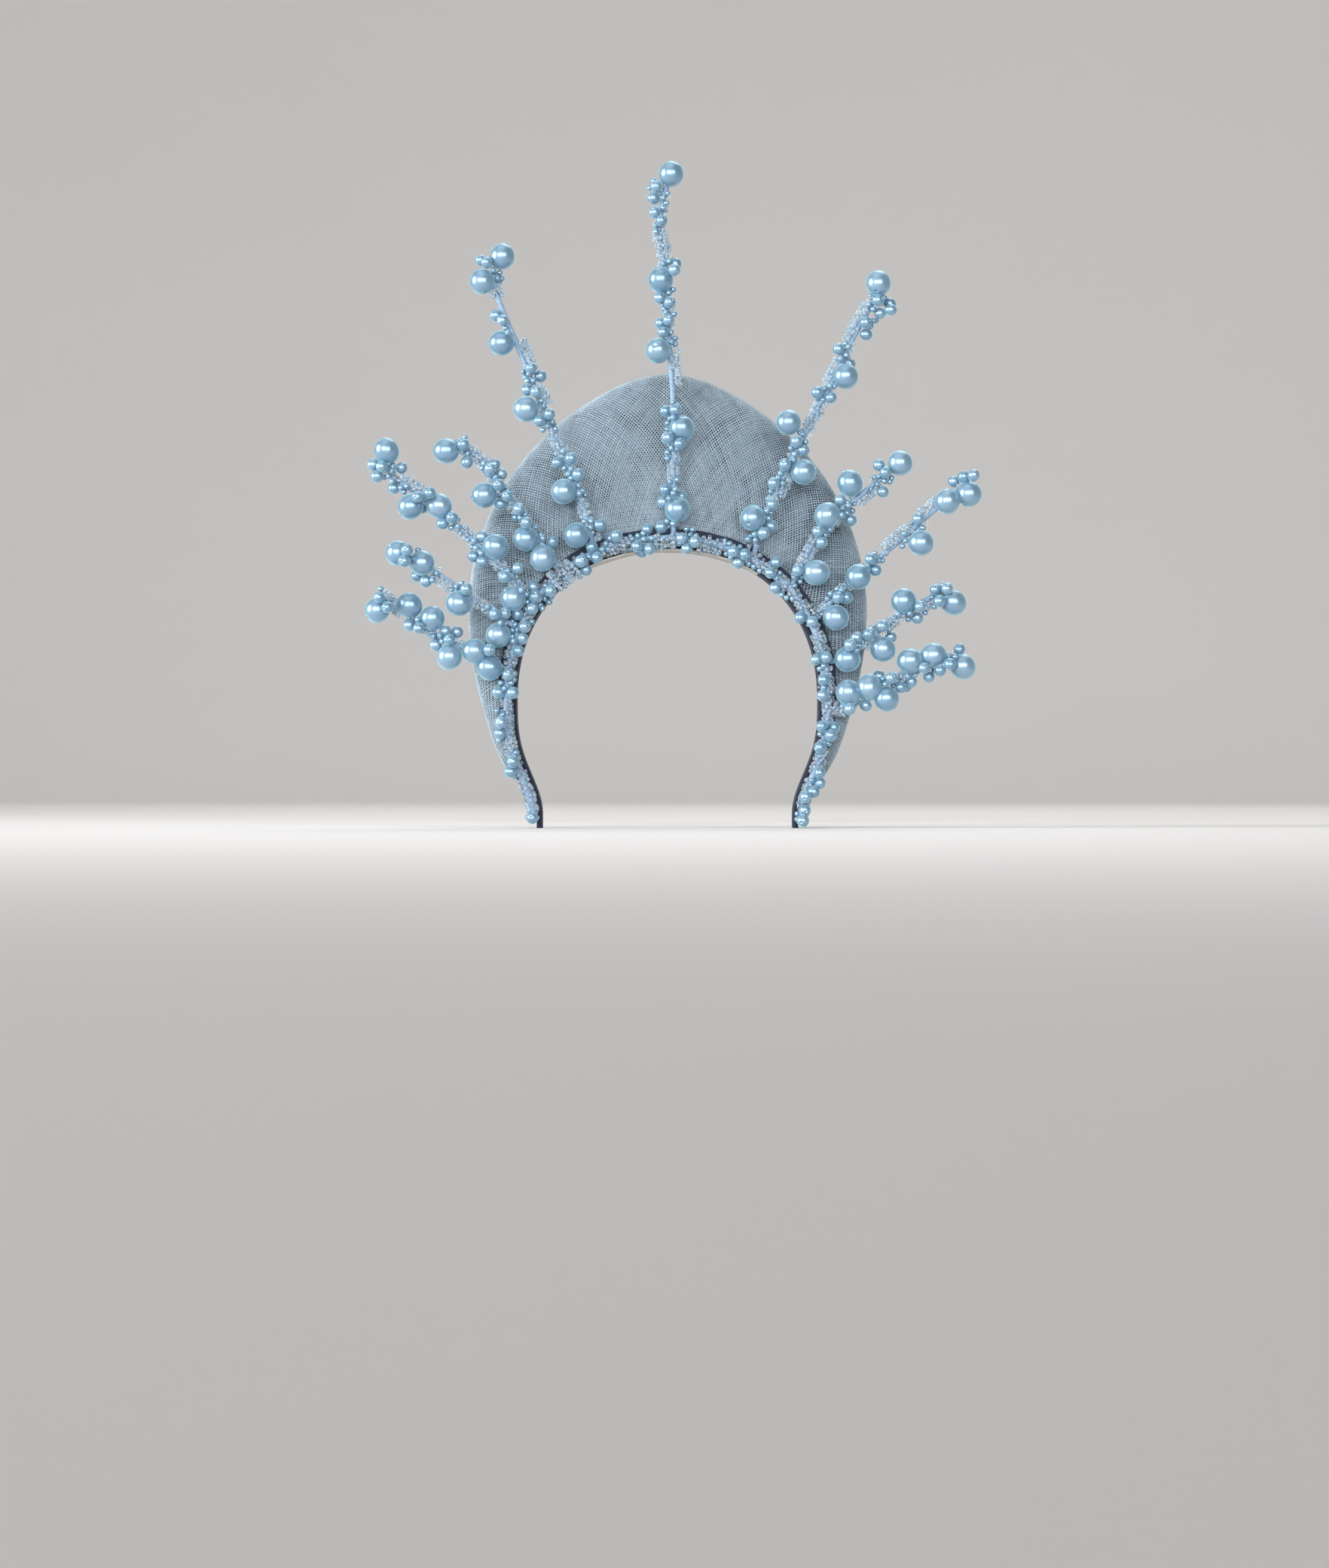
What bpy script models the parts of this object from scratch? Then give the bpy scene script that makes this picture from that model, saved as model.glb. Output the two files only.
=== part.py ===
"""Sinamay tiara headpiece: a blocked halo crown on a ribbon-covered head band, with a beaded wire tiara.

The headpiece stands on the two flat tips of its head band. X runs to the viewer's right, Y to the back
and Z up. The origin is on the floor under the middle of the whole headpiece.
All sizes in the tables below are millimetres and are turned into metres by MM.
"""

import math
from collections import namedtuple

import bmesh
import bpy
from mathutils import Vector

MM = 0.001
WELD_DISTANCE = 0.01

# The whole headpiece leans back on its tips, this far for each millimetre of height
LEAN_BACK = 0.05

# Middle of the whole headpiece, from the band line's own zero at the front of the head
WIDTH_MIDDLE = 3.0
DEPTH_MIDDLE = 38.3

# Band line: the tiara's base wire seen from the front, a wide arch on two legs that turn in at the ends
ARCH_HALF_WIDTH = 80.8
ARCH_RISE = 81.0
ARCH_FULLNESS = 2.15
LEG_HEIGHT = 65.0
LEG_TURN_IN = 13.0
LEG_EASE_POWER = 1.5
LEG_STRAIGHT_END = 6.8
ARCH_SHARE = 0.656
SLOPE_STEP = 0.002
SEARCH_ROUNDS = 6
SEARCH_CHOICES = 40
SEARCH_HALVINGS = 30

# Head band: navy ribbon over a flat band, standing on its tips
BAND_INNER_OFFSET = -4.6
BAND_THICKNESS = 2.6
BAND_FRONT = -3.0
BAND_WIDTH = 24.0
BAND_SECTIONS = 56

# Ivory strip under the head band, along the top of the arch only
STRIP_THICKNESS = 1.0
STRIP_WIDTH = 22.0
STRIP_GAP = 0.3
STRIP_REACH = 0.26
STRIP_SECTIONS = 15

# Navy binding along the crown's front edge
BINDING_INNER_OFFSET = -1.5
BINDING_HEIGHT = 6.4
BINDING_END_HEIGHT = 4.0
BINDING_FRONT = -3.3
BINDING_THICKNESS = 1.3
BINDING_REACH = 0.93
BINDING_SECTIONS = 44
BINDING_FULL_UNTIL = 0.5
BINDING_NARROWS_OVER = 0.4

# Crown: blocked sinamay, hollow, open towards the head
CROWN_WALL = 1.5
CROWN_FRONT = -1.6
CROWN_INNER_OFFSET = -1.4
CROWN_CREST_SHARE = 0.42
CROWN_BACK_DROP = 0.74
CROWN_HALF_ANGLE = 116.0
CROWN_COLUMNS = 32
CROWN_FRONT_ROWS = 6
CROWN_BACK_ROWS = 5
CrownSection = namedtuple("CrownSection", "angle height depth")
CROWN_SECTIONS = (
    CrownSection(0, 86.2, 82),
    CrownSection(14, 76.6, 80),
    CrownSection(30, 62.2, 73),
    CrownSection(54, 39.3, 58),
    CrownSection(76, 21.6, 43),
    CrownSection(96, 11.4, 31),
    CrownSection(116, 5.5, 24),
)

# Tiara wire, wrapped in tape
WIRE_RADIUS = 1.35
WIRE_Y = -5.0
WIRE_END_LIFT = 3.0
SEAT_GAP = 0.35
STEM_Y = -8.0
STEM_LEAN = 0.02
ROOT_LENGTH = 5.0
STEM_STEP = 10.0
WIRE_STEPS = 40
WIRE_TABLE_STEPS = 400

# Pearls
LARGE_PEARL = 12.2
MEDIUM_PEARL = 5.9
PEARL_FORWARD = 2.0
LARGE_SIDES = 10
LARGE_RINGS = 6
MEDIUM_SIDES = 10
MEDIUM_RINGS = 5
TWIG_RADIUS = 0.8
TWIG_SIDES = 6

# Each spine: its stem seen from the front as (x, z), root first, then its pearls as (along, across).
# Along is measured on the stem from its root, and across is positive to the right of a stem that points up.
Spine = namedtuple("Spine", "name stem large medium")
SPINES = (
    Spine(
        "spine_centre",
        stem=((3, 147), (3, 174), (3, 210), (1, 246), (-1, 285), (-4, 306), (0, 327)),
        large=((185, 1), (130, -3), (94, -6), (54, 4), (13, 2)),
        medium=((172, -4), (141, 4), (65, 2), (24, -4)),
    ),
    Spine(
        "spine_left_5",
        stem=((-35, 138), (-45, 170), (-59, 202), (-73, 237), (-86, 269), (-88, 283)),
        large=((158, 5), (146, -6), (115, -7), (79, -8), (33, -7), (9, -7)),
        medium=((132, -4), (96, 4), (50, 3)),
    ),
    Spine(
        "spine_left_4",
        stem=((-54, 131), (-69, 151), (-83, 170), (-96, 188), (-103, 191)),
        large=((88, -3), (53, -9), (23, -5), (10, -4)),
        medium=((63, 3), (41, 3)),
    ),
    Spine(
        "spine_left_3",
        stem=((-71, 117), (-86, 134), (-100, 147), (-120, 165), (-137, 176), (-142, 186)),
        large=((108, 2), (79, -8), (67, 1), (32, 5), (7, -6)),
        medium=((89, 4), (53, 3)),
    ),
    Spine(
        "spine_left_2",
        stem=((-76, 101), (-95, 113), (-114, 127), (-135, 138)),
        large=((71, 0), (58, 1), (31, -6), (6, -8)),
        medium=((43, 2), (17, 3)),
    ),
    Spine(
        "spine_left_1",
        stem=((-79, 80), (-95, 88), (-115, 96), (-131, 108), (-143, 116)),
        large=((71, -7), (59, 4), (46, 6), (29, -7), (18, 0), (7, -3)),
        medium=((38, 4),),
    ),
    Spine(
        "spine_right_5",
        stem=((43, 137), (45, 148), (57, 174), (70, 200), (83, 225), (93, 246), (107, 272)),
        large=((153, -2), (103, 5), (69, -10), (50, 8), (18, -5)),
        medium=((142, 6), (131, 4), (90, 1), (38, -3)),
    ),
    Spine(
        "spine_right_4",
        stem=((62, 123), (74, 144), (92, 163), (115, 182)),
        large=((84, 0), (58, -8), (39, -4), (11, 8)),
        medium=((69, 5), (28, 2)),
    ),
    Spine(
        "spine_right_3",
        stem=((74, 106), (93, 125), (116, 144), (134, 160), (150, 173)),
        large=((101, 5), (90, 1), (66, 8), (31, 1), (8, 7)),
        medium=((72, -2), (40, -2)),
    ),
    Spine(
        "spine_right_2",
        stem=((79, 83), (98, 94), (117, 106), (138, 119), (145, 115)),
        large=((77, 2), (49, -6), (27, 9), (9, 3)),
        medium=((69, -2), (36, -3)),
    ),
    Spine(
        "spine_right_1",
        stem=((83, 60), (104, 71), (123, 78), (144, 86), (149, 82)),
        large=((75, 1), (58, -4), (46, -6), (28, 8), (22, -1), (12, -4)),
        medium=((66, -3), (37, 4)),
    ),
)

# Medium pearls on the base wire: place along it from the top, to the right, and place across it, outwards
WIRE_PEARLS = (
    (-188, 1), (-166, 3), (-147, 3), (-128, -3), (-105, -3), (-68, -3), (-26, 3),
    (11, -3), (54, 3), (79, -3), (120, -3), (146, 3), (172, 3), (188, 0),
)

Finish = namedtuple("Finish", "name colour roughness")
SINAMAY = Finish("blue_grey_sinamay", (0.26, 0.34, 0.38), 0.85)
NAVY = Finish("navy_ribbon", (0.012, 0.020, 0.045), 0.75)
IVORY = Finish("ivory_strip", (0.68, 0.62, 0.53), 0.8)
TAPE = Finish("periwinkle_tape", (0.30, 0.42, 0.66), 0.65)
PEARL = Finish("blue_pearl", (0.28, 0.47, 0.60), 0.22)


def clear_scene():
    """Removes what is in the scene, and makes the two collections."""
    for thing in list(bpy.data.objects):
        bpy.data.objects.remove(thing, do_unlink=True)
    made = []
    for title in ("sinamay_tiara_headpiece", "cutters"):
        group = bpy.data.collections.new(title)
        bpy.context.scene.collection.children.link(group)
        made.append(group)
    return made


def material(finish):
    """A plain Principled material, made once for each finish."""
    found = bpy.data.materials.get(finish.name)
    if found:
        return found
    made = bpy.data.materials.new(finish.name)
    made.use_nodes = True
    shader = made.node_tree.nodes["Principled BSDF"]
    shader.inputs["Base Color"].default_value = (*finish.colour, 1.0)
    shader.inputs["Roughness"].default_value = finish.roughness
    shader.inputs["Metallic"].default_value = 0.0
    return made


def arch_point(angle):
    """Front-view point on the arch, with the angle in radians from straight up, to the right."""
    across = abs(math.sin(angle)) / ARCH_HALF_WIDTH
    up = abs(math.cos(angle)) / ARCH_RISE
    reach = (across ** ARCH_FULLNESS + up ** ARCH_FULLNESS) ** (-1 / ARCH_FULLNESS)
    return Vector((reach * math.sin(angle), LEG_HEIGHT + reach * math.cos(angle)))


def leg_point(drop, side):
    """Front-view point on a leg, a drop below the arch's widest place. The tip runs straight down."""
    share = min(drop / (LEG_HEIGHT - LEG_STRAIGHT_END), 1.0) ** LEG_EASE_POWER
    turned_in = LEG_TURN_IN * (1 - math.cos(math.pi * share)) / 2
    return Vector((side * (ARCH_HALF_WIDTH - turned_in), LEG_HEIGHT - drop))


def band_point(station):
    """Front-view point on the band line, from station -1 at the left tip over 0 at the top to 1."""
    side = math.copysign(1, station)
    if abs(station) <= ARCH_SHARE:
        return arch_point(side * math.pi / 2 * abs(station) / ARCH_SHARE)
    share = (abs(station) - ARCH_SHARE) / (1 - ARCH_SHARE)
    return leg_point(LEG_HEIGHT * min(share, 1.0), side)


def band_outward(station):
    """Unit vector across the band line, away from the head."""
    low = band_point(max(station - SLOPE_STEP, -1))
    high = band_point(min(station + SLOPE_STEP, 1))
    if abs(station) > 1 - 2 * SLOPE_STEP:
        return Vector((math.copysign(1, station), 0))
    run = (high - low).normalized()
    return Vector((-run.y, run.x))


def leaned(flat, y):
    """3D point in millimetres for a front-view point, leaned back with its height."""
    return Vector((flat.x - WIDTH_MIDDLE, y + LEAN_BACK * flat.y - DEPTH_MIDDLE, flat.y))


def offset_point(station, offset, y):
    """3D point in metres beside the band line."""
    flat = band_point(station) + band_outward(station) * offset
    return leaned(flat, y) * MM


def stations(reach, count):
    """Evenly spaced stations from -reach to reach."""
    return [reach * (2 * index / count - 1) for index in range(count + 1)]


def grid_shell(name, rows, thickness, finish, group):
    """An open sheet through rows of points, made solid on the side that its faces turn away from."""
    sheet = bmesh.new()
    corners = [[sheet.verts.new(point) for point in row] for row in rows]
    for row, next_row in zip(corners[:-1], corners[1:]):
        for index in range(len(row) - 1):
            sheet.faces.new((row[index], next_row[index], next_row[index + 1], row[index + 1]))
    mesh = bpy.data.meshes.new(name)
    sheet.to_mesh(mesh)
    sheet.free()
    mesh.materials.append(material(finish))
    mesh.shade_smooth()
    shell = bpy.data.objects.new(name, mesh)
    group.objects.link(shell)
    wall = shell.modifiers.new("wall", "SOLIDIFY")
    wall.thickness = thickness * MM
    wall.offset = -1
    wall.use_even_offset = True
    return shell


def flat_strip(name, inner_offset, thickness, front, width, reach, count, finish, group):
    """A ribbon that lies along the band line, its width running from front to back."""
    outer = inner_offset + thickness
    rows = []
    for station in stations(reach, count):
        rows.append((offset_point(station, outer, front), offset_point(station, outer, front + width)))
    return grid_shell(name, rows, thickness, finish, group)


def head_band(group):
    return flat_strip(
        "head_band", BAND_INNER_OFFSET, BAND_THICKNESS, BAND_FRONT, BAND_WIDTH, 1.0, BAND_SECTIONS, NAVY, group)


def inner_strip(group):
    inner = BAND_INNER_OFFSET - STRIP_GAP - STRIP_THICKNESS
    front = BAND_FRONT + (BAND_WIDTH - STRIP_WIDTH) / 2
    return flat_strip(
        "inner_strip", inner, STRIP_THICKNESS, front, STRIP_WIDTH, STRIP_REACH, STRIP_SECTIONS, IVORY, group)


def smooth_between(share):
    """Eases from 0 to 1."""
    share = min(max(share, 0.0), 1.0)
    return share * share * (3 - 2 * share)


def crown_size(angle):
    """The crown's height over the band line and its depth, at an angle in degrees from the top."""
    angle = abs(angle)
    for low, high in zip(CROWN_SECTIONS[:-1], CROWN_SECTIONS[1:]):
        if angle <= high.angle:
            break
    before = CROWN_SECTIONS[max(CROWN_SECTIONS.index(low) - 1, 0)]
    after = CROWN_SECTIONS[min(CROWN_SECTIONS.index(high) + 1, len(CROWN_SECTIONS) - 1)]
    share = min((angle - low.angle) / (high.angle - low.angle), 1.0)
    values = []
    for field in ("height", "depth"):
        points = [getattr(section, field) for section in (before, low, high, after)]
        places = [section.angle for section in (before, low, high, after)]
        values.append(hermite(points, places, share))
    return values


def hermite(points, places, share):
    """Smooth value between the middle two of four table rows."""
    gap = places[2] - places[1]
    slope_in = (points[2] - points[0]) / (places[2] - places[0]) * gap
    slope_out = (points[3] - points[1]) / (places[3] - places[1]) * gap
    square = share * share
    cube = square * share
    return (
        points[1] * (2 * cube - 3 * square + 1)
        + points[2] * (3 * square - 2 * cube)
        + slope_in * (cube - 2 * square + share)
        + slope_out * (cube - square)
    )


def band_at_angle(angle):
    """Front-view point on the band line that lies at an angle in degrees from the top."""
    if abs(angle) <= 90:
        return arch_point(math.radians(angle))
    side = math.copysign(1, angle)
    low, high = 0.0, LEG_HEIGHT
    for _ in range(SEARCH_HALVINGS):
        drop = (low + high) / 2
        point = leg_point(drop, side)
        turned = 90 + math.degrees(math.atan2(drop, abs(point.x)))
        if turned < abs(angle):
            low = drop
        else:
            high = drop
    return leg_point(drop, side)


def crown_profile():
    """Share of the height and place in the depth, from the front edge over the crest to the back edge."""
    profile = []
    for row in range(CROWN_FRONT_ROWS + 1):
        turn = math.pi / 2 * row / CROWN_FRONT_ROWS
        profile.append((math.sin(turn), CROWN_CREST_SHARE * (1 - math.cos(turn))))
    for row in range(1, CROWN_BACK_ROWS + 1):
        turn = math.pi / 2 * row / CROWN_BACK_ROWS
        rise = 1 - CROWN_BACK_DROP * (1 - math.cos(turn))
        profile.append((rise, CROWN_CREST_SHARE + (1 - CROWN_CREST_SHARE) * math.sin(turn)))
    return profile


def crown_shell(group):
    """The halo crown: an arched sheet that rises in front of the head and curves over to the back."""
    profile = crown_profile()
    centre = Vector((0, LEG_HEIGHT))
    rows = []
    for column in range(CROWN_COLUMNS + 1):
        angle = CROWN_HALF_ANGLE * (2 * column / CROWN_COLUMNS - 1)
        height, depth = crown_size(angle)
        base = band_at_angle(angle)
        outward = (base - centre).normalized()
        row = []
        for rise, back in profile:
            reach = CROWN_INNER_OFFSET + (height - CROWN_INNER_OFFSET) * rise
            flat = base + outward * reach
            row.append(leaned(flat, CROWN_FRONT + depth * back) * MM)
        rows.append(row)
    return grid_shell("crown_shell", rows, CROWN_WALL, SINAMAY, group)


def front_binding(group):
    """The navy binding stands in front of the crown's front edge, and narrows to its ends."""
    rows = []
    for station in stations(BINDING_REACH, BINDING_SECTIONS):
        share = smooth_between((abs(station) - BINDING_FULL_UNTIL) / BINDING_NARROWS_OVER)
        height = BINDING_HEIGHT + (BINDING_END_HEIGHT - BINDING_HEIGHT) * share
        low = offset_point(station, BINDING_INNER_OFFSET, BINDING_FRONT)
        high = offset_point(station, BINDING_INNER_OFFSET + height, BINDING_FRONT)
        rows.append((low, high))
    return grid_shell("front_binding", rows, BINDING_THICKNESS, NAVY, group)


def tube(name, points, radius, finish, group):
    """A round wire with flat ends, as a mesh with its caps welded on."""
    data = bpy.data.curves.new(name, "CURVE")
    data.dimensions = "3D"
    data.bevel_depth = radius * MM
    data.bevel_resolution = 1
    data.use_fill_caps = True
    line = data.splines.new("POLY")
    line.points.add(len(points) - 1)
    for knot, point in zip(line.points, points):
        knot.co = (*point, 1.0)
    guide = bpy.data.objects.new(name + "_line", data)
    group.objects.link(guide)
    bpy.context.view_layer.update()
    mesh = bpy.data.meshes.new_from_object(guide.evaluated_get(bpy.context.evaluated_depsgraph_get()))
    bpy.data.objects.remove(guide, do_unlink=True)
    weld = bmesh.new()
    weld.from_mesh(mesh)
    bmesh.ops.remove_doubles(weld, verts=weld.verts, dist=WELD_DISTANCE * MM)
    bmesh.ops.recalc_face_normals(weld, faces=weld.faces)
    weld.to_mesh(mesh)
    weld.free()
    mesh.materials.clear()
    mesh.materials.append(material(finish))
    mesh.shade_smooth()
    made = bpy.data.objects.new(name, mesh)
    group.objects.link(made)
    return made


def pearl(name, centre, diameter, sides, rings, group):
    """A round bead."""
    ball = bmesh.new()
    bmesh.ops.create_uvsphere(ball, u_segments=sides, v_segments=rings, radius=diameter / 2 * MM)
    mesh = bpy.data.meshes.new(name)
    ball.to_mesh(mesh)
    ball.free()
    mesh.materials.append(material(PEARL))
    mesh.shade_smooth()
    made = bpy.data.objects.new(name, mesh)
    made.location = centre
    group.objects.link(made)
    return made


def twig(name, start, end, group):
    """The short twisted wire that holds a pearl off its stem."""
    run = end - start
    rod = bmesh.new()
    bmesh.ops.create_cone(
        rod, cap_ends=True, segments=TWIG_SIDES, radius1=TWIG_RADIUS * MM, radius2=TWIG_RADIUS * MM,
        depth=run.length)
    mesh = bpy.data.meshes.new(name)
    rod.to_mesh(mesh)
    rod.free()
    mesh.materials.append(material(TAPE))
    made = bpy.data.objects.new(name, mesh)
    made.location = (start + end) / 2
    made.rotation_euler = run.to_track_quat("Z", "Y").to_euler()
    group.objects.link(made)
    return made


def catmull(points, spacing):
    """Points at about an even spacing on a smooth curve through the given points."""
    ends = [2 * points[0] - points[1], *points, 2 * points[-1] - points[-2]]
    made = []
    for first, second, third, fourth in zip(ends[:-3], ends[1:-2], ends[2:-1], ends[3:]):
        steps = max(1, round((third - second).length / spacing))
        for step in range(steps):
            share = step / steps
            made.append(0.5 * (
                2 * second
                + (third - first) * share
                + (2 * first - 5 * second + 4 * third - fourth) * share ** 2
                + (3 * second - first - 3 * third + fourth) * share ** 3
            ))
    made.append(points[-1].copy())
    return made


def nearest_station(point):
    """Station of the band line that lies nearest to a front-view point."""
    low, high = -1.0, 1.0
    for _ in range(SEARCH_ROUNDS):
        step = (high - low) / SEARCH_CHOICES
        choices = [low + step * index for index in range(SEARCH_CHOICES + 1)]
        best = min(choices, key=lambda station: (band_point(station) - point).length)
        low, high = max(best - step, -1), min(best + step, 1)
    return best


def stem_line(spine):
    """The stem's centre line in millimetres: it starts on the base wire, then comes forward."""
    flat = [Vector(point) for point in spine.stem]
    station = nearest_station(flat[0])
    outward = band_outward(station)
    seat = band_point(station) + outward * (WIRE_RADIUS + SEAT_GAP)
    onward = (outward + (flat[1] - seat).normalized()).normalized()
    flat = [seat, seat + onward * ROOT_LENGTH, *flat[1:]]
    line = catmull(flat, STEM_STEP)
    placed = []
    run = 0.0
    for index, point in enumerate(line):
        if index:
            run += (point - line[index - 1]).length
        forward = smooth_between((run - ROOT_LENGTH / 2) / (2 * ROOT_LENGTH))
        y = WIRE_Y + (STEM_Y - WIRE_Y) * forward + STEM_LEAN * run
        placed.append(leaned(point, y))
    return placed


def place_on(line, along, across):
    """Point on a stem and the point beside it, for a bead that sits along and across it."""
    for start, end in zip(line[:-1], line[1:]):
        length = (end - start).length
        if along <= length or end is line[-1]:
            break
        along -= length
    run = (end - start).normalized()
    on_stem = start + run * min(along, length)
    side = Vector((run.z, 0, -run.x)).normalized()
    return on_stem, start + run * along + side * across


def fuse(body, pieces_group):
    """Joins a body with everything in a group into one solid."""
    join = body.modifiers.new("fused_pearls", "BOOLEAN")
    join.operation = "UNION"
    join.operand_type = "COLLECTION"
    join.collection = pieces_group
    join.solver = "EXACT"
    join.material_mode = "TRANSFER"
    for piece in pieces_group.objects:
        piece.hide_render = True
        piece.display_type = "WIRE"


def bead_group(name, cutters):
    group = bpy.data.collections.new(name + "_pearls")
    cutters.children.link(group)
    return group


def beaded_spine(spine, group, cutters):
    """A taped stem with its pearls, fused into one body."""
    line = stem_line(spine)
    body = tube(spine.name, [point * MM for point in line], WIRE_RADIUS, TAPE, group)
    pearls = bead_group(spine.name, cutters)
    sizes = (
        (spine.large, LARGE_PEARL, LARGE_SIDES, LARGE_RINGS),
        (spine.medium, MEDIUM_PEARL, MEDIUM_SIDES, MEDIUM_RINGS),
    )
    count = 0
    for places, diameter, sides, rings in sizes:
        for along, across in places:
            count += 1
            on_stem, beside = place_on(line, along, across)
            centre = beside + Vector((0, -PEARL_FORWARD, 0))
            pearl(f"{spine.name}_pearl_{count}", centre * MM, diameter, sides, rings, pearls)
            if (centre - on_stem).length > diameter / 2 + WIRE_RADIUS / 2:
                twig(f"{spine.name}_twig_{count}", on_stem * MM, centre * MM, pearls)
    fuse(body, pearls)
    return body


def wire_length_table():
    """Stations and the distance along the band line to each, from the top."""
    table = []
    previous = band_point(0)
    run = 0.0
    for index in range(WIRE_TABLE_STEPS + 1):
        station = index / WIRE_TABLE_STEPS
        point = band_point(station)
        run += (point - previous).length
        previous = point
        table.append((run, station))
    return table


def station_at(distance, table):
    """Station at a distance from the top along the band line, to the right."""
    for run, station in table:
        if run >= abs(distance):
            break
    return math.copysign(station, distance)


def base_wire(group, cutters):
    """The tiara's taped base wire along the band's front, with its medium pearls, fused."""
    table = wire_length_table()
    reach = station_at(table[-1][0] - WIRE_END_LIFT, table)
    line = [offset_point(station, 0.0, WIRE_Y) for station in stations(reach, WIRE_STEPS)]
    body = tube("base_wire", line, WIRE_RADIUS, TAPE, group)
    pearls = bead_group("base_wire", cutters)
    for count, (along, across) in enumerate(WIRE_PEARLS, 1):
        station = station_at(along, table)
        centre = offset_point(station, across, WIRE_Y - PEARL_FORWARD)
        pearl(f"base_wire_pearl_{count}", centre, MEDIUM_PEARL, MEDIUM_SIDES, MEDIUM_RINGS, pearls)
    fuse(body, pearls)
    return body


def main():
    parts, cutters = clear_scene()
    crown_shell(parts)
    front_binding(parts)
    head_band(parts)
    inner_strip(parts)
    base_wire(parts, cutters)
    for spine in SPINES:
        beaded_spine(spine, parts, cutters)


main()
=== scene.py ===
"""Looks of the sinamay tiara headpiece: woven crown, ribbons, taped wire, pearls and glass seed beads.

Sizes in the tables are millimetres in the headpiece's own frame, turned into metres by MM. X runs to the
viewer's right, Y to the back and Z up from the floor. The band line, the ribbons and the stems repeat the
solids they stand for, and the crown follows its solid within 2 mm.
"""

import math
import random
from collections import namedtuple

import bpy
import numpy as np
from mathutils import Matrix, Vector


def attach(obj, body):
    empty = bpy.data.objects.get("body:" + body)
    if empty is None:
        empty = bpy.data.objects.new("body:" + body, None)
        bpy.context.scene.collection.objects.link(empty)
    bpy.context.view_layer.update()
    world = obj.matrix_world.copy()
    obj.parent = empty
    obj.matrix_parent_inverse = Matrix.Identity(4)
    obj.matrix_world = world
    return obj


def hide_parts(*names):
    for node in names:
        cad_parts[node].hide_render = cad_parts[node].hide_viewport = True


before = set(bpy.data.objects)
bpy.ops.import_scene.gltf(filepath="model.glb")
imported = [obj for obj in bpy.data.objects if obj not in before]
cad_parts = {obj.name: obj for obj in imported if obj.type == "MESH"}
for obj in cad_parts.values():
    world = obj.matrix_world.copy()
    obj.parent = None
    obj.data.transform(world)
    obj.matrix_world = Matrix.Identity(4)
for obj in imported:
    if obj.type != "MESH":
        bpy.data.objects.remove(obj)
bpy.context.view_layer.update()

MM = 0.001
UP = np.array((0.0, 0.0, 1.0))
FORWARD = np.array((0.0, -1.0, 0.0))
RIGHT = np.array((1.0, 0.0, 0.0))
NEARLY_UP = 0.9
TINY = 1e-9
length = np.linalg.norm

# Camera: level with the lower head band, at the distance that gives the photograph's perspective
CAMERA_PLACE = (-4.5, -2036.0, 22.2)
LENS = 91.1
SENSOR = 36.0

# Frame of the whole headpiece
LEAN_BACK = 0.05
WIDTH_MIDDLE = 3.0
DEPTH_MIDDLE = 38.3

# Band line
ARCH_HALF_WIDTH = 80.8
ARCH_RISE = 81.0
ARCH_FULLNESS = 2.15
LEG_HEIGHT = 65.0
LEG_TURN_IN = 13.0
LEG_EASE_POWER = 1.5
LEG_STRAIGHT_END = 6.8
ARCH_SHARE = 0.656
SLOPE_STEP = 0.002
BAND_LINE_STEPS = 400

# Ribbons along the band line: offset of the inner side from the line, thickness, front edge, width, covered
# share of the line, corner radius, and how far the ends rise towards the line
Ribbon = namedtuple("Ribbon", "name inner thickness front width reach roundness rise")
HEAD_BAND = Ribbon("head_band_ribbon", -4.6, 2.6, -3.0, 24.0, 1.0, 0.9, 0.0)
INNER_STRIP = Ribbon("ivory_edge_strip", -5.9, 1.0, -2.0, 22.0, 0.26, 0.45, 1.1)
RISE_FROM = 0.55
RISE_OVER = 0.45
BINDING_INNER = -1.5
BINDING_HEIGHT = 6.4
BINDING_END_HEIGHT = 4.0
BINDING_FRONT = -3.3
BINDING_THICKNESS = 1.3
BINDING_REACH = 0.93
BINDING_FULL_UNTIL = 0.5
BINDING_NARROWS_OVER = 0.4
BINDING_CORNER = 0.4
BINDING_WAVES = (31, 57, 93)
BINDING_WAVE_HEIGHT = 0.22
BAND_HALF_LENGTH = 196
RIBBON_STEPS = 300
CORNER_STEPS = 4
CORNER_LIMIT = 0.98

# Crown
CROWN_WALL = 1.5
CROWN_FRONT = -1.6
CROWN_INNER_OFFSET = -1.4
CROWN_CREST_SHARE = 0.42
CROWN_BACK_DROP = 0.74
CROWN_HALF_ANGLE = 116.0
CROWN_COLUMNS = 188
CROWN_FRONT_ROWS = 36
CROWN_BACK_ROWS = 34
ANGLE_HALVINGS = 30
CrownSection = namedtuple("CrownSection", "angle height depth")
CROWN_SECTIONS = [CrownSection(*row) for row in (
    (0, 87.8, 82),
    (7, 84.0, 81.5),
    (14, 77.8, 80),
    (30, 62.2, 73),
    (54, 39.3, 58),
    (76, 21.6, 43),
    (96, 11.4, 31),
    (116, 5.5, 24),
)]

# Sinamay: cells of the woven net, cut on the bias and pulled over the block
CELL_EDGE = 1.4
CELLS_PER_RADIAN = 67.0
CELLS_GATHERED = 20.0
BIAS_TURN = 45.0
SHEAR_LIMIT = 0.93
THREAD_WIDTH = 0.5
THREAD_WIDTH_SHARES = (0.8, 1.2)
THREAD_HEIGHT = 0.3
THREAD_SHIFT = 0.13
THREAD_WAVE = 0.05
LAYER_DEPTH = 0.5
INNER_LAYER_TWIST = 0.035
INNER_LAYER_STRETCH = 1.02

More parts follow.
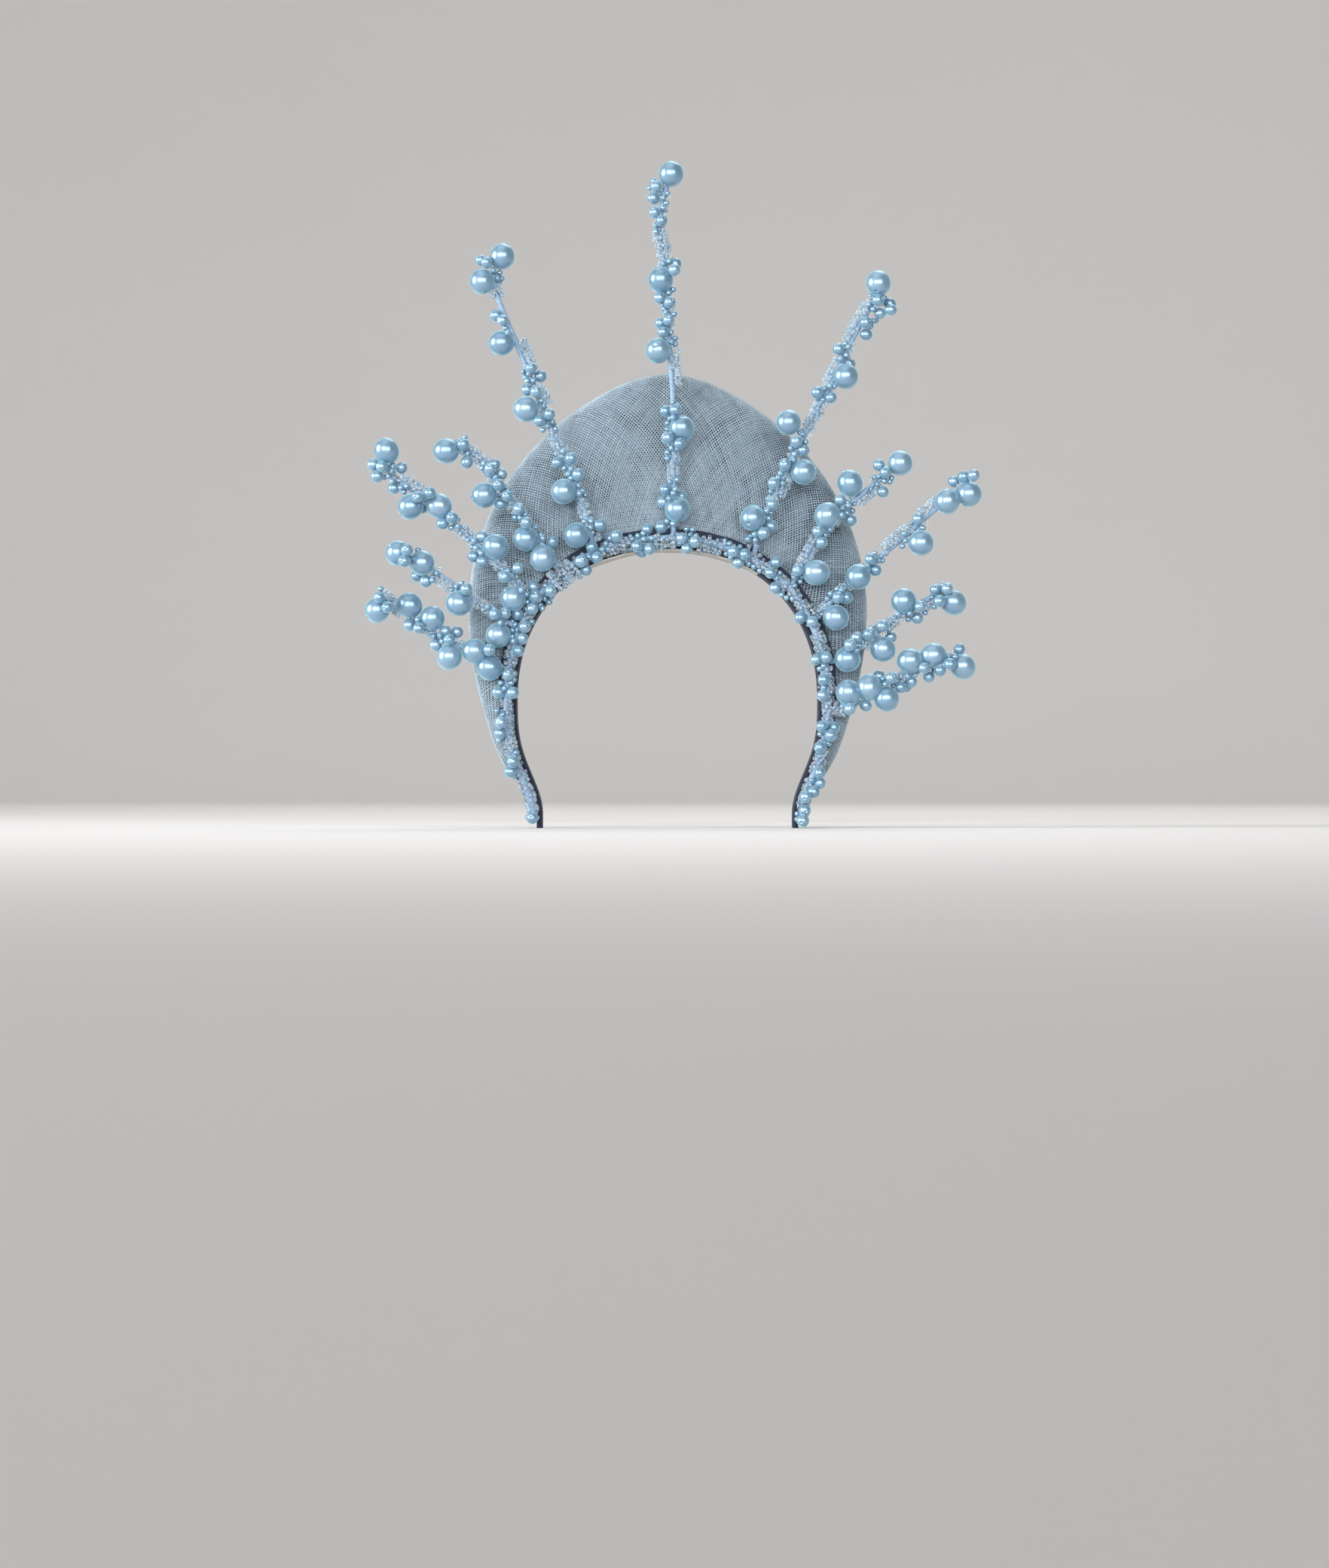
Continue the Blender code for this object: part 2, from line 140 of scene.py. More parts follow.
# Wire and stems
WIRE_RADIUS = 1.35
BASE_WIRE_RADIUS = 1.75
WIRE_Y = -5.0
WIRE_END_LIFT = 3.0
WIRE_LINE_STRIDE = 2
SEAT_GAP = 0.35
STEM_Y = -8.0
STEM_LEAN = 0.02
ROOT_LENGTH = 5.0
STEM_STEP = 2.0
TAPE_SIDES = 14
TAPE_TURN = 5.5
TAPE_RIDGE = 0.07
END_TURNS = (0.25, 0.6, 1.0, math.pi / 2)
END_CLEARANCE = 1.3

# Beads: diameters across the drilled hole, and the hole's edge and depth for a radius of 1
LARGE_PEARL = 12.8
MEDIUM_PEARL = 6.1
SMALL_PEARL = 3.1
PEARL_SIZES = (0.95, 1.05)
PEARL_STRETCH = (0.98, 1.09)
PEARL_FORWARD = 2.0
FORWARD_SQUARE_LEAST = 0.4
DRILL_ANGLE = 0.11
DRILL_DEPTH = 0.55
GLASS_BEAD = 2.4
GLASS_HOLE = 0.14
GLASS_HEIGHT = 0.68
HOLE_SCATTER = 0.45
HOLE_ALONG_STEM = 0.4
BEADING_WIRE_RADIUS = 0.2
BEADING_WIRE_FOR_LARGE = 1.6
BEADING_WIRE_SIDES = 6

# Helper direction for a tube's first side, and the nudge for a bead in the middle of its stem
TUBE_HELPER = FORWARD + 0.1 * UP
FORWARD_NUDGE = FORWARD * 0.01

# Settling: how freely a bead moves sideways, in depth and upwards, and the share of a gap closed each round
SETTLE_ROUNDS = 60
SETTLE_EASE = np.array((0.3, 1.0, 0.3))
PUSH_FROM_BEAD = 0.5
PUSH_FROM_STEM = 0.6
PULL_TO_BEAD = (0.15, 0.5, 0.15)
PULL_HOME = 0.15
FAR_FROM_ITSELF = 1e3

# Fill between the measured pearls: step along the stem, longest way to a pearl, share and size of pearls,
# largest turn from the front, sizes, and how near two beads may come as a share of touching
FILL_STEP = 0.45
FILL_REACH = 4.5
FILL_PEARLS = 0.4
FILL_PEARL_SIZE = 0.88
FILL_TURN = 2.2
FILL_SIZES = (0.85, 1.1)
FILL_NEAREST = 0.86

# Loops of glass beads: step and scatter along the stem, the width from which they crowd and how fast, how
# their slack, middle and tip vary, the share of beads left out, and the beads' sizes
LOOP_STEP = 1.3
LOOP_SCATTER = 0.25
LOOP_WIDE = 3.8
LOOP_WIDE_POWER = 1.3
LOOP_SLACK_POWER = 0.7
LOOP_OFF_MIDDLE = 0.8
LOOP_TIP = 0.4
LOOP_GAPS = 0.05
LOOP_SIZES = (0.8, 1.18)

# Distances in a loop as shares of a glass bead's diameter
LOOP_PITCH = 1.02
LOOP_RADIUS = 0.46
KEEP_OFF_PEARL = 0.3
KEEP_OFF_GLASS = 0.52
KEEP_OFF_STEM = 0.3

# Seeds of the random draws
WARP_SEED = 3
WEFT_SEED = 4
BINDING_SEED = 11
BASE_WIRE_SEED = 20
FIRST_SPINE_SEED = 21

# Each spine: its stem seen from the front as (x, z), root first, and its beads along and across the stem.
# Clear stretches are (from, to, across, spread) of the glass beads that wrap the stem. With no spread the
# tape stays bare there.
Spine = namedtuple("Spine", "name stem large medium small clear")
SPINES = (
    Spine(
        "spine_centre",
        stem=((3, 147), (3, 174), (3, 210), (1, 246), (-1, 285), (-4, 306), (0, 327)),
        large=((185, 1), (130, -3), (94, -6), (54, 4), (13, 2)),
        medium=(
            (177, -5), (171, -5), (164, -3), (160, 1), (138, 5), (134, 4), (121, -4), (118, 1), (109, 0),
            (108, -4), (103, -3), (63, 1), (63, -4), (49, -3), (46, 3), (23, -4), (20, 4), (17, -5), (4, -6),
        ),
        small=(
            (180, -7), (176, -8), (172, 0), (170, 2), (167, 1), (158, -2), (155, -2), (139, 2), (138, -1),
            (125, 3), (123, 1), (115, -2), (113, -1), (112, 3), (103, 1), (100, 3), (98, 1), (97, 3), (59, 0),
            (57, -3), (54, -3), (44, -1), (42, -3), (39, -3), (28, 2), (23, 1), (21, 0), (18, -2), (7, -3),
            (6, 0),
        ),
        clear=((137, 157, 0, 4.2), (76, 95, 2, 3.7), (27, 42, 0, 3.6)),
    ),
    Spine(
        "spine_left_5",
        stem=((-35, 138), (-45, 170), (-59, 202), (-73, 237), (-86, 269), (-88, 283)),
        large=((158, 5), (146, -6), (115, -7), (79, -8), (33, -7), (9, -7)),
        medium=(
            (157, -6), (155, -3), (129, -4), (125, -2), (97, 2), (92, 5), (88, -4), (85, 0), (72, 2),
            (71, -4), (48, -4), (47, 3), (38, 3), (11, 6),
        ),
        small=(
            (151, 0), (150, 3), (147, 4), (147, 2), (121, -2), (118, -2), (97, 4), (95, 0), (92, -2), (91, 1),
            (80, 1), (77, 1), (68, 2), (67, -1), (66, -4), (64, 2), (52, 1), (44, -2), (42, 1), (40, -1),
            (38, -1), (33, 1), (30, 2), (29, 0), (14, 2), (11, 1),
        ),
        clear=(
            (138, 145, 0, 4.0), (113, 137, 0, 0.0), (100, 113, 3, 3.4), (77, 87, 3, 3.8), (51, 64, 0, 4.0),
            (18, 27, 0, 3.6), (3, 9, 2, 3.4),
        ),
    ),
    Spine(
        "spine_left_4",
        stem=((-54, 131), (-69, 151), (-83, 170), (-96, 188), (-103, 191)),
        large=((88, -3), (53, -9), (23, -5), (10, -4)),
        medium=(
            (80, 2), (75, -6), (63, 4), (62, 1), (57, 4), (53, 0), (46, 0), (45, -5), (37, 1), (29, 0),
            (14, 5),
        ),
        small=(
            (83, 3), (80, 6), (77, -2), (75, -4), (66, 0), (65, -2), (57, 1), (49, -3), (35, -3), (33, 2),
            (33, -1), (20, 2), (18, 2),
        ),
        clear=((58, 79, 0, 3.8),),
    ),
    Spine(
        "spine_left_3",
        stem=((-71, 117), (-86, 134), (-100, 147), (-120, 165), (-137, 176), (-142, 186)),
        large=((108, 2), (79, -8), (67, 1), (32, 5), (7, -6)),
        medium=(
            (104, -7), (101, -3), (98, -7), (96, 6), (91, -4), (78, -2), (74, 3), (74, -5), (60, -4), (58, 1),
            (40, 4), (37, -6), (32, -5), (18, -2), (17, 6),
        ),
        small=(
            (99, 2), (97, 1), (97, -4), (96, -2), (93, -2), (88, -2), (86, 0), (86, -3), (77, 1), (74, 0),
            (55, -3), (53, 0), (42, 0), (41, -3), (39, -2), (35, -2), (16, 1), (7, 0), (4, 0), (1, -2),
        ),
        clear=((78, 95, 2, 4.0), (45, 55, 0, 3.6), (21, 31, 0, 4.0), (7, 15, 0, 3.8)),
    ),
    Spine(
        "spine_left_2",
        stem=((-76, 101), (-95, 113), (-114, 127), (-135, 138)),
        large=((71, 0), (58, 1), (31, -6), (6, -8)),
        medium=((67, 3), (66, -2), (58, -6), (52, -6), (32, 2), (13, 0), (9, 3)),
        small=((63, 6), (50, -3), (49, 0), (49, -4), (37, 0), (36, 3), (18, 1), (8, -2)),
        clear=((39, 48, -2, 3.8), (19, 27, 0, 3.8)),
    ),
    Spine(
        "spine_left_1",
        stem=((-79, 80), (-95, 88), (-115, 96), (-131, 108), (-143, 116)),
        large=((71, -7), (59, 4), (46, 6), (29, -7), (18, 0), (7, -3)),
        medium=((73, -1), (67, -3), (53, -4), (48, -2), (37, -4), (36, 4), (32, 1), (30, 6), (12, 4)),
        small=((75, 3), (51, 1), (40, -1), (37, 1), (35, -1), (9, 3)),
        clear=((61, 74, 0, 4.8), (41, 45, 0, 3.4), (23, 28, 0, 3.4)),
    ),
    Spine(
        "spine_right_5",
        stem=((43, 137), (45, 148), (57, 174), (70, 200), (83, 225), (93, 246), (107, 272)),
        large=((153, -2), (103, 5), (69, -10), (50, 8), (18, -5)),
        medium=(
            (147, 8), (145, 2), (144, 10), (140, 6), (132, 2), (127, 5), (114, -4), (110, 4), (90, 3),
            (89, -4), (62, -2), (60, 3), (49, -2), (38, -3), (28, 1), (18, 5), (13, 3),
        ),
        small=(
            (148, 4), (141, -1), (140, 2), (136, 6), (135, 5), (132, 5), (118, -2), (117, 0), (113, 1),
            (110, -1), (96, 2), (95, 0), (92, -3), (67, -1), (64, 2), (58, -3), (56, 0), (53, 1), (44, -2),
            (42, -2), (40, 1), (24, 2), (24, 0), (21, 2), (11, -1), (8, 0), (8, -4),
        ),
        clear=((120, 142, -2, 3.8), (96, 110, -2, 3.6), (71, 86, 0, 3.8), (34, 45, 2, 4.0), (0, 5, -2, 3.4)),
    ),
    Spine(
        "spine_right_4",
        stem=((62, 123), (74, 144), (92, 163), (115, 182)),
        large=((84, 0), (58, -8), (39, -4), (11, 8)),
        medium=((75, -1), (75, -6), (68, 6), (49, -5), (46, 6), (30, -2), (27, 3), (8, -1)),
        small=(
            (76, 3), (74, 4), (72, 2), (68, 1), (64, 1), (51, -1), (50, 3), (50, 0), (47, 2), (47, -1),
            (44, 1), (35, 2), (31, 2), (4, -1),
        ),
        clear=((55, 66, 2, 3.8), (12, 26, 0, 4.2)),
    ),
    Spine(
        "spine_right_3",
        stem=((74, 106), (93, 125), (116, 144), (134, 160), (150, 173)),
        large=((101, 5), (90, 1), (66, 8), (31, 1), (8, 7)),
        medium=((108, -1), (104, -3), (99, -5), (73, -2), (41, -2), (40, 4), (19, 4), (16, 1)),
        small=((72, 3), (63, -1), (61, 2), (58, 3), (45, -3), (44, 1), (38, 0), (20, 0), (19, -2), (15, -3)),
        clear=((76, 91, -3, 3.6), (50, 66, -2, 4.2), (4, 12, 0, 3.8)),
    ),
    Spine(
        "spine_right_2",
        stem=((79, 83), (98, 94), (117, 106), (138, 119), (145, 115)),
        large=((77, 2), (49, -6), (27, 9), (9, 3)),
        medium=(
            (70, -1), (65, -2), (64, 4), (54, 1), (50, 5), (34, 6), (33, -1), (25, -1), (19, -3), (14, -2),
        ),
        small=(
            (68, -3), (60, 5), (55, 5), (48, 1), (46, 3), (43, -2), (35, 2), (28, 1), (28, -3), (18, 1),
            (15, 2),
        ),
        clear=((53, 61, 2, 4.0), (36, 42, 0, 3.6), (20, 24, 2, 3.4)),
    ),
    Spine(
        "spine_right_1",
        stem=((83, 60), (104, 71), (123, 78), (144, 86), (149, 82)),
        large=((75, 1), (58, -4), (46, -6), (28, 8), (22, -1), (12, -4)),
        medium=(
            (69, -4), (64, 3), (58, 4), (52, 5), (51, 0), (43, 4), (40, 5), (37, 5), (34, -1), (29, -4),
            (16, 6), (8, 3),
        ),
        small=((68, 0), (65, -1), (56, 3), (42, 1), (34, 3), (30, 1), (30, -2), (14, 3), (11, 3), (6, 0)),
        clear=((37, 48, 0, 3.8), (1, 7, 0, 5.0)),
    ),
)

# The base wire's beads: along it from the top, to the right, and across it, outwards
WIRE_BEADS = Spine(
    "base_wire",
    stem=(),
    large=(),
    medium=(
        (-191, 0), (-165, 4), (-161, 1), (-146, 4), (-141, 3), (-126, -3), (-126, 4), (-117, 0), (-104, -3),
        (-97, -3), (-91, -2), (-87, 4), (-81, -1), (-75, 1), (-72, 5), (-68, -3), (-46, -6), (-46, -1),
        (-38, -3), (-38, 3), (-28, 4), (-25, 4), (-16, -3), (-14, -6), (-10, -5), (-10, 5), (7, 0), (10, -5),
        (14, -1), (34, -1), (39, -5), (40, 0), (56, -1), (55, 5), (63, -5), (84, -4), (89, 0), (108, -4),
        (108, 1), (119, -2), (127, -3), (143, -3), (143, 3), (147, 2), (154, -2), (166, 2), (171, 4),
        (176, 3), (180, 0), (187, 1), (192, 0),
    ),
    small=(
        (-168, 3), (-157, -2), (-149, 5), (-137, 2), (-135, 5), (-124, 1), (-121, -2), (-121, 3), (-119, -3),
        (-116, -3), (-100, 1), (-98, 2), (-95, 3), (-94, 1), (-92, 3), (-91, 5), (-87, -4), (-78, -5),
        (-77, -3), (-73, -6), (-73, -3), (-70, -5), (-70, -2), (-66, -2), (-44, 1), (-41, -1), (-34, 0),
        (-31, -1), (-31, 2), (-15, 2), (-12, 0), (-12, 3), (-8, 0), (9, 5), (11, 2), (12, 5), (14, 2),
        (31, -3), (31, 2), (34, -4), (44, -3), (47, -3), (51, -3), (53, 3), (60, -1), (68, -5), (69, 3),
        (71, -4), (112, -1), (113, -3), (123, -2), (145, -1), (147, -3), (151, 2), (171, 0), (173, 3),
    ),
    clear=(
        (-189, -168, 0, 3.6), (-161, -138, 0, 4.0), (-136, -127, 0, 3.8), (-114, -101, 0, 4.2),
        (-89, -80, 0, 4.0), (-64, -51, 0, 6.7), (-35, -19, -1, 4.4), (-7, 4, -2, 4.6), (16, 28, -2, 4.8),
        (42, 55, 0, 4.4), (61, 73, 0, 4.6), (74, 83, 0, 4.0), (81, 89, 2, 4.4), (95, 106, 0, 4.2),
        (112, 126, 0, 4.6), (128, 141, 0, 3.6), (149, 165, 0, 3.8), (173, 188, 0, 3.5),
    ),
)


# Band line and crown form

def arch_point(angle):
    """Front-view point on the arch, with the angle in radians from straight up, to the right."""
    across = abs(math.sin(angle)) / ARCH_HALF_WIDTH
    up = abs(math.cos(angle)) / ARCH_RISE
    reach = (across ** ARCH_FULLNESS + up ** ARCH_FULLNESS) ** (-1 / ARCH_FULLNESS)
    return np.array((reach * math.sin(angle), LEG_HEIGHT + reach * math.cos(angle)))


def leg_point(drop, side):
    """Front-view point on a leg, a drop below the arch's widest place."""
    share = min(drop / (LEG_HEIGHT - LEG_STRAIGHT_END), 1.0) ** LEG_EASE_POWER
    turned_in = LEG_TURN_IN * (1 - math.cos(math.pi * share)) / 2
    return np.array((side * (ARCH_HALF_WIDTH - turned_in), LEG_HEIGHT - drop))


def band_point(station):
    """Front-view point on the band line: station -1 is the left tip, 0 the top and 1 the right tip."""
    side = math.copysign(1, station)
    if abs(station) <= ARCH_SHARE:
        return arch_point(side * math.pi / 2 * abs(station) / ARCH_SHARE)
    share = (abs(station) - ARCH_SHARE) / (1 - ARCH_SHARE)
    return leg_point(LEG_HEIGHT * min(share, 1.0), side)


def band_outward(station):
    """Unit vector across the band line, away from the head."""
    low = band_point(max(station - SLOPE_STEP, -1))
    high = band_point(min(station + SLOPE_STEP, 1))
    if abs(station) > 1 - 2 * SLOPE_STEP:
        return np.array((math.copysign(1, station), 0.0))
    run = (high - low) / length(high - low)
    return np.array((-run[1], run[0]))


def leaned(flat, y):
    """3D point in millimetres for a front-view point, leaned back with its height."""
    return np.array((flat[0] - WIDTH_MIDDLE, y + LEAN_BACK * flat[1] - DEPTH_MIDDLE, flat[1]))


def offset_point(station, offset, y):
    """3D point beside the band line."""
    return leaned(band_point(station) + band_outward(station) * offset, y)


def smooth_between(share):
    """Eases from 0 to 1."""
    share = min(max(share, 0.0), 1.0)
    return share * share * (3 - 2 * share)


def hermite(points, places, share):
    """Smooth value between the middle two of four table rows."""
    gap = places[2] - places[1]
    slope_in = (points[2] - points[0]) / (places[2] - places[0]) * gap
    slope_out = (points[3] - points[1]) / (places[3] - places[1]) * gap
    square = share * share
    cube = square * share
    return (
        points[1] * (2 * cube - 3 * square + 1)
        + points[2] * (3 * square - 2 * cube)
        + slope_in * (cube - 2 * square + share)
        + slope_out * (cube - square)
    )


def crown_size(angle):
    """The crown's height over the band line and its depth, at an angle in degrees from the top."""
    angle = abs(angle)
    for index in range(len(CROWN_SECTIONS) - 1):
        if angle <= CROWN_SECTIONS[index + 1].angle:
            break
    numbers = (max(index - 1, 0), index, index + 1, min(index + 2, len(CROWN_SECTIONS) - 1))
    rows = [CROWN_SECTIONS[number] for number in numbers]
    places = [row.angle for row in rows]
    share = min((angle - places[1]) / (places[2] - places[1]), 1.0)
    return [hermite([getattr(row, field) for row in rows], places, share) for field in ("height", "depth")]


def band_at_angle(angle):
    """Front-view point on the band line that lies at an angle in degrees from the top."""
    if abs(angle) <= 90:
        return arch_point(math.radians(angle))
    side = math.copysign(1, angle)
    low, high = 0.0, LEG_HEIGHT
    for _ in range(ANGLE_HALVINGS):
        drop = (low + high) / 2
        point = leg_point(drop, side)
        if 90 + math.degrees(math.atan2(drop, abs(point[0]))) < abs(angle):
            low = drop
        else:
            high = drop
    return leg_point(drop, side)


def crown_profile():
    """Share of the height and place in the depth, from the front edge over the crest to the back edge."""
    profile = []
    for row in range(CROWN_FRONT_ROWS + 1):
        turn = math.pi / 2 * row / CROWN_FRONT_ROWS
        profile.append((math.sin(turn), CROWN_CREST_SHARE * (1 - math.cos(turn))))
    for row in range(1, CROWN_BACK_ROWS + 1):
        turn = math.pi / 2 * row / CROWN_BACK_ROWS
        rise = 1 - CROWN_BACK_DROP * (1 - math.cos(turn))
        profile.append((rise, CROWN_CREST_SHARE + (1 - CROWN_CREST_SHARE) * math.sin(turn)))
    return profile


def crown_grid():
    """Angles in radians, and points on the crown's outer side as an array of columns and rows."""
    profile = crown_profile()
    centre = np.array((0.0, LEG_HEIGHT))
    angles = np.linspace(-CROWN_HALF_ANGLE, CROWN_HALF_ANGLE, CROWN_COLUMNS + 1)
    points = []
    for angle in angles:
        height, depth = crown_size(angle)
        base = band_at_angle(angle)
        outward = (base - centre) / length(base - centre)
        column = []
        for rise, back in profile:
            reach = CROWN_INNER_OFFSET + (height - CROWN_INNER_OFFSET) * rise
            column.append(leaned(base + outward * reach, CROWN_FRONT + depth * back))
        points.append(column)
    return np.radians(angles), np.array(points)


def unit(vectors):
    """Vectors scaled to length 1."""
    return vectors / np.maximum(length(vectors, axis=-1, keepdims=True), TINY)


def distances(line):
    """Distance from a line's start to each of its points."""
    steps = length(np.diff(line, axis=0), axis=1)
    return np.concatenate([[0.0], np.cumsum(steps)])


def weave_fields(angles, points):
    """Counts of the two thread directions at each grid point. Cells keep their edge length and shear."""
    spread = length(np.gradient(points, angles, axis=0), axis=-1)
    gathered = CELLS_PER_RADIAN + CELLS_GATHERED * np.cos(2 * angles)
    across = CELLS_PER_RADIAN * angles + CELLS_GATHERED / 2 * np.sin(2 * angles)
    shear = np.clip(spread / (2 * CELL_EDGE * gathered[:, None]), 0.0, SHEAR_LIMIT)
    steps = length(np.diff(points, axis=1), axis=-1)
    density = 1 / (2 * CELL_EDGE * np.sqrt(1 - shear ** 2))
    climbs = steps * (density[:, 1:] + density[:, :-1]) / 2
    along = np.concatenate([np.zeros((len(angles), 1)), np.cumsum(climbs, axis=1)], axis=1)
    bias = BIAS_TURN * (2 / 3 - np.cos(angles) + np.cos(angles) ** 3 / 3)
    along -= bias[:, None]
    across = np.repeat(across[:, None], points.shape[1], axis=1)
    return across + along, across - along


# Meshes

def turned(first, second, angle):
    """The first direction, turned by an angle towards the second."""
    return first * math.cos(angle) + second * math.sin(angle)


def circle(sides, reach, height):
    """Points round Z."""
    angles = math.tau * np.arange(sides) / sides
    return [(reach * math.cos(angle), reach * math.sin(angle), height) for angle in angles]


def mesh_object(name, vertices, faces, slots, face_slots=None, maps=None, values=None):
    """A mesh object from arrays in millimetres, with its materials, maps for each corner and point values."""
    mesh = bpy.data.meshes.new(name)
    mesh.from_pydata((np.asarray(vertices) * MM).tolist(), [], faces)
    for made in slots:
        mesh.materials.append(made)
    if face_slots is not None:
        mesh.polygons.foreach_set("material_index", np.asarray(face_slots, np.int32))
    corners = np.empty(len(mesh.loops), np.int32)
    mesh.loops.foreach_get("vertex_index", corners)
    for title, pairs in (maps or {}).items():
        layer = mesh.uv_layers.new(name=title)
        layer.data.foreach_set("uv", np.asarray(pairs, np.float32)[corners].ravel())
    for title, numbers in (values or {}).items():
        layer = mesh.attributes.new(title, "FLOAT", "POINT")
        layer.data.foreach_set("value", np.asarray(numbers, np.float32))
    mesh.shade_smooth()
    mesh.update()
    made = bpy.data.objects.new(name, mesh)
    bpy.context.scene.collection.objects.link(made)
    return made


def dress(piece, slot, *nodes):
    """Rides the piece on the headpiece and hides the solids that it stands for. The finish's name in slot is
    not used.
    """
    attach(piece, "root")
    if nodes:
        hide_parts(*nodes)


def grid_faces(columns, rows, first=0, round_columns=False, round_rows=False):
    """Faces of a grid of points. A round grid also joins its last line to its first."""
    faces = []
    for column in range(columns - 1 + round_columns):
        here = first + column * rows
        beside = first + (column + 1) % columns * rows
        for row in range(rows - 1 + round_rows):
            above = (row + 1) % rows
            faces.append((here + row, beside + row, beside + above, here + above))
    return faces


def ring_tube(rings, sides):
    """Faces of a closed tube through rings of points, with both ends capped."""
    grid = grid_faces(rings, sides, round_rows=True)
    faces = [(low, high, far_high, far_low) for low, far_low, far_high, high in grid]
    last = (rings - 1) * sides
    faces.append(tuple(reversed(range(sides))))
    faces.append(tuple(range(last, last + sides)))
    return faces


def rounded_section(half_wide, half_thick, corner):
    """Outline of a ribbon's section with round corners: pairs across its width and its thickness."""
    corner = min(corner, half_thick * CORNER_LIMIT, half_wide * CORNER_LIMIT)
    outline = []
    for turn, (wide, thick) in enumerate(((1, 1), (-1, 1), (-1, -1), (1, -1))):
        for step in range(CORNER_STEPS + 1):
            angle = math.pi / 2 * (turn + step / CORNER_STEPS)
            outline.append((
                wide * (half_wide - corner) + corner * math.cos(angle),
                thick * (half_thick - corner) + corner * math.sin(angle),
            ))
    return outline


RIBBON_SHARES = [2 * index / RIBBON_STEPS - 1 for index in range(RIBBON_STEPS + 1)]


def ribbon(plan, finish, slot, node):
    """A ribbon that lies along the band line, its width running from front to back."""
    section = rounded_section(plan.width / 2, plan.thickness / 2, plan.roundness)
    middle = plan.front + plan.width / 2
    levels = []
    for share in RIBBON_SHARES:
        rise = plan.rise * smooth_between((abs(share) - RISE_FROM) / RISE_OVER)
        levels.append((plan.reach * share, plan.inner + plan.thickness / 2 + rise))
    runs = distances([offset_point(station, level, middle) for station, level in levels])
    vertices, pairs = [], []
    for (station, level), run in zip(levels, runs):
        for wide, thick in section:
            vertices.append(offset_point(station, level + thick, middle + wide))
            pairs.append((run, wide))
    faces = [face[::-1] for face in ring_tube(len(levels), len(section))]
    dress(mesh_object(plan.name, vertices, faces, [finish], maps={"ribbon": pairs}), slot, node)


def front_binding(finish):
    """The navy ribbon that stands before the crown's front edge, a little uneven as a hand-sewn one is."""
    drift = random.Random(BINDING_SEED)
    phases = [drift.uniform(0, math.tau) for _ in BINDING_WAVES]
    vertices, pairs = [], []
    for share in RIBBON_SHARES:
        station = BINDING_REACH * share
        narrow = smooth_between((abs(station) - BINDING_FULL_UNTIL) / BINDING_NARROWS_OVER)
        height = BINDING_HEIGHT + (BINDING_END_HEIGHT - BINDING_HEIGHT) * narrow
        waves = [math.sin(station * pace + phase) for pace, phase in zip(BINDING_WAVES, phases)]
        section = rounded_section(height / 2, BINDING_THICKNESS / 2, BINDING_THICKNESS * BINDING_CORNER)
        for wide, thick in section:
            lift = BINDING_INNER + height / 2 + wide
            if wide > 0:
                lift += BINDING_WAVE_HEIGHT * (sum(waves) / len(waves))
            vertices.append(offset_point(station, lift, BINDING_FRONT - BINDING_THICKNESS / 2 + thick))
            pairs.append((station * BAND_HALF_LENGTH, wide))
    faces = ring_tube(len(RIBBON_SHARES), len(section))
    piece = mesh_object("crown_edge_binding", vertices, faces, [finish], maps={"ribbon": pairs})
    dress(piece, "navy_ribbon", "front_binding")


def crown_base(angles, points, normals, finish):
    """The inner layer of sinamay and the crown's wall, under the threads of the outer layer."""
    first, second = weave_fields(angles, points)
    inner = points - normals * LAYER_DEPTH
    pairs = np.stack([
        first * INNER_LAYER_STRETCH + second * INNER_LAYER_TWIST,
        second - first * INNER_LAYER_TWIST,
    ], axis=-1).reshape(-1, 2)
    columns, rows = points.shape[:2]
    piece = mesh_object(
        "crown_inner_layer", inner.reshape(-1, 3), grid_faces(columns, rows), [finish],
        maps={"weave": pairs})
    wall = piece.modifiers.new("wall", "SOLIDIFY")
    wall.thickness = (CROWN_WALL - LAYER_DEPTH) * MM
    wall.offset = -1
    dress(piece, "sinamay", "crown_shell")


def surface_slope(points, field):
    """Unit direction on the grid's surface in which a field grows fastest."""
    by_column = np.gradient(points, axis=0)
    by_row = np.gradient(points, axis=1)
    grow_column = np.gradient(field, axis=0)
    grow_row = np.gradient(field, axis=1)
    cc = (by_column * by_column).sum(-1)
    cr = (by_column * by_row).sum(-1)
    rr = (by_row * by_row).sum(-1)
    area = np.maximum(cc * rr - cr * cr, TINY)
    share_column = (rr * grow_column - cr * grow_row) / area
    share_row = (cc * grow_row - cr * grow_column) / area
    return unit(share_column[..., None] * by_column + share_row[..., None] * by_row)


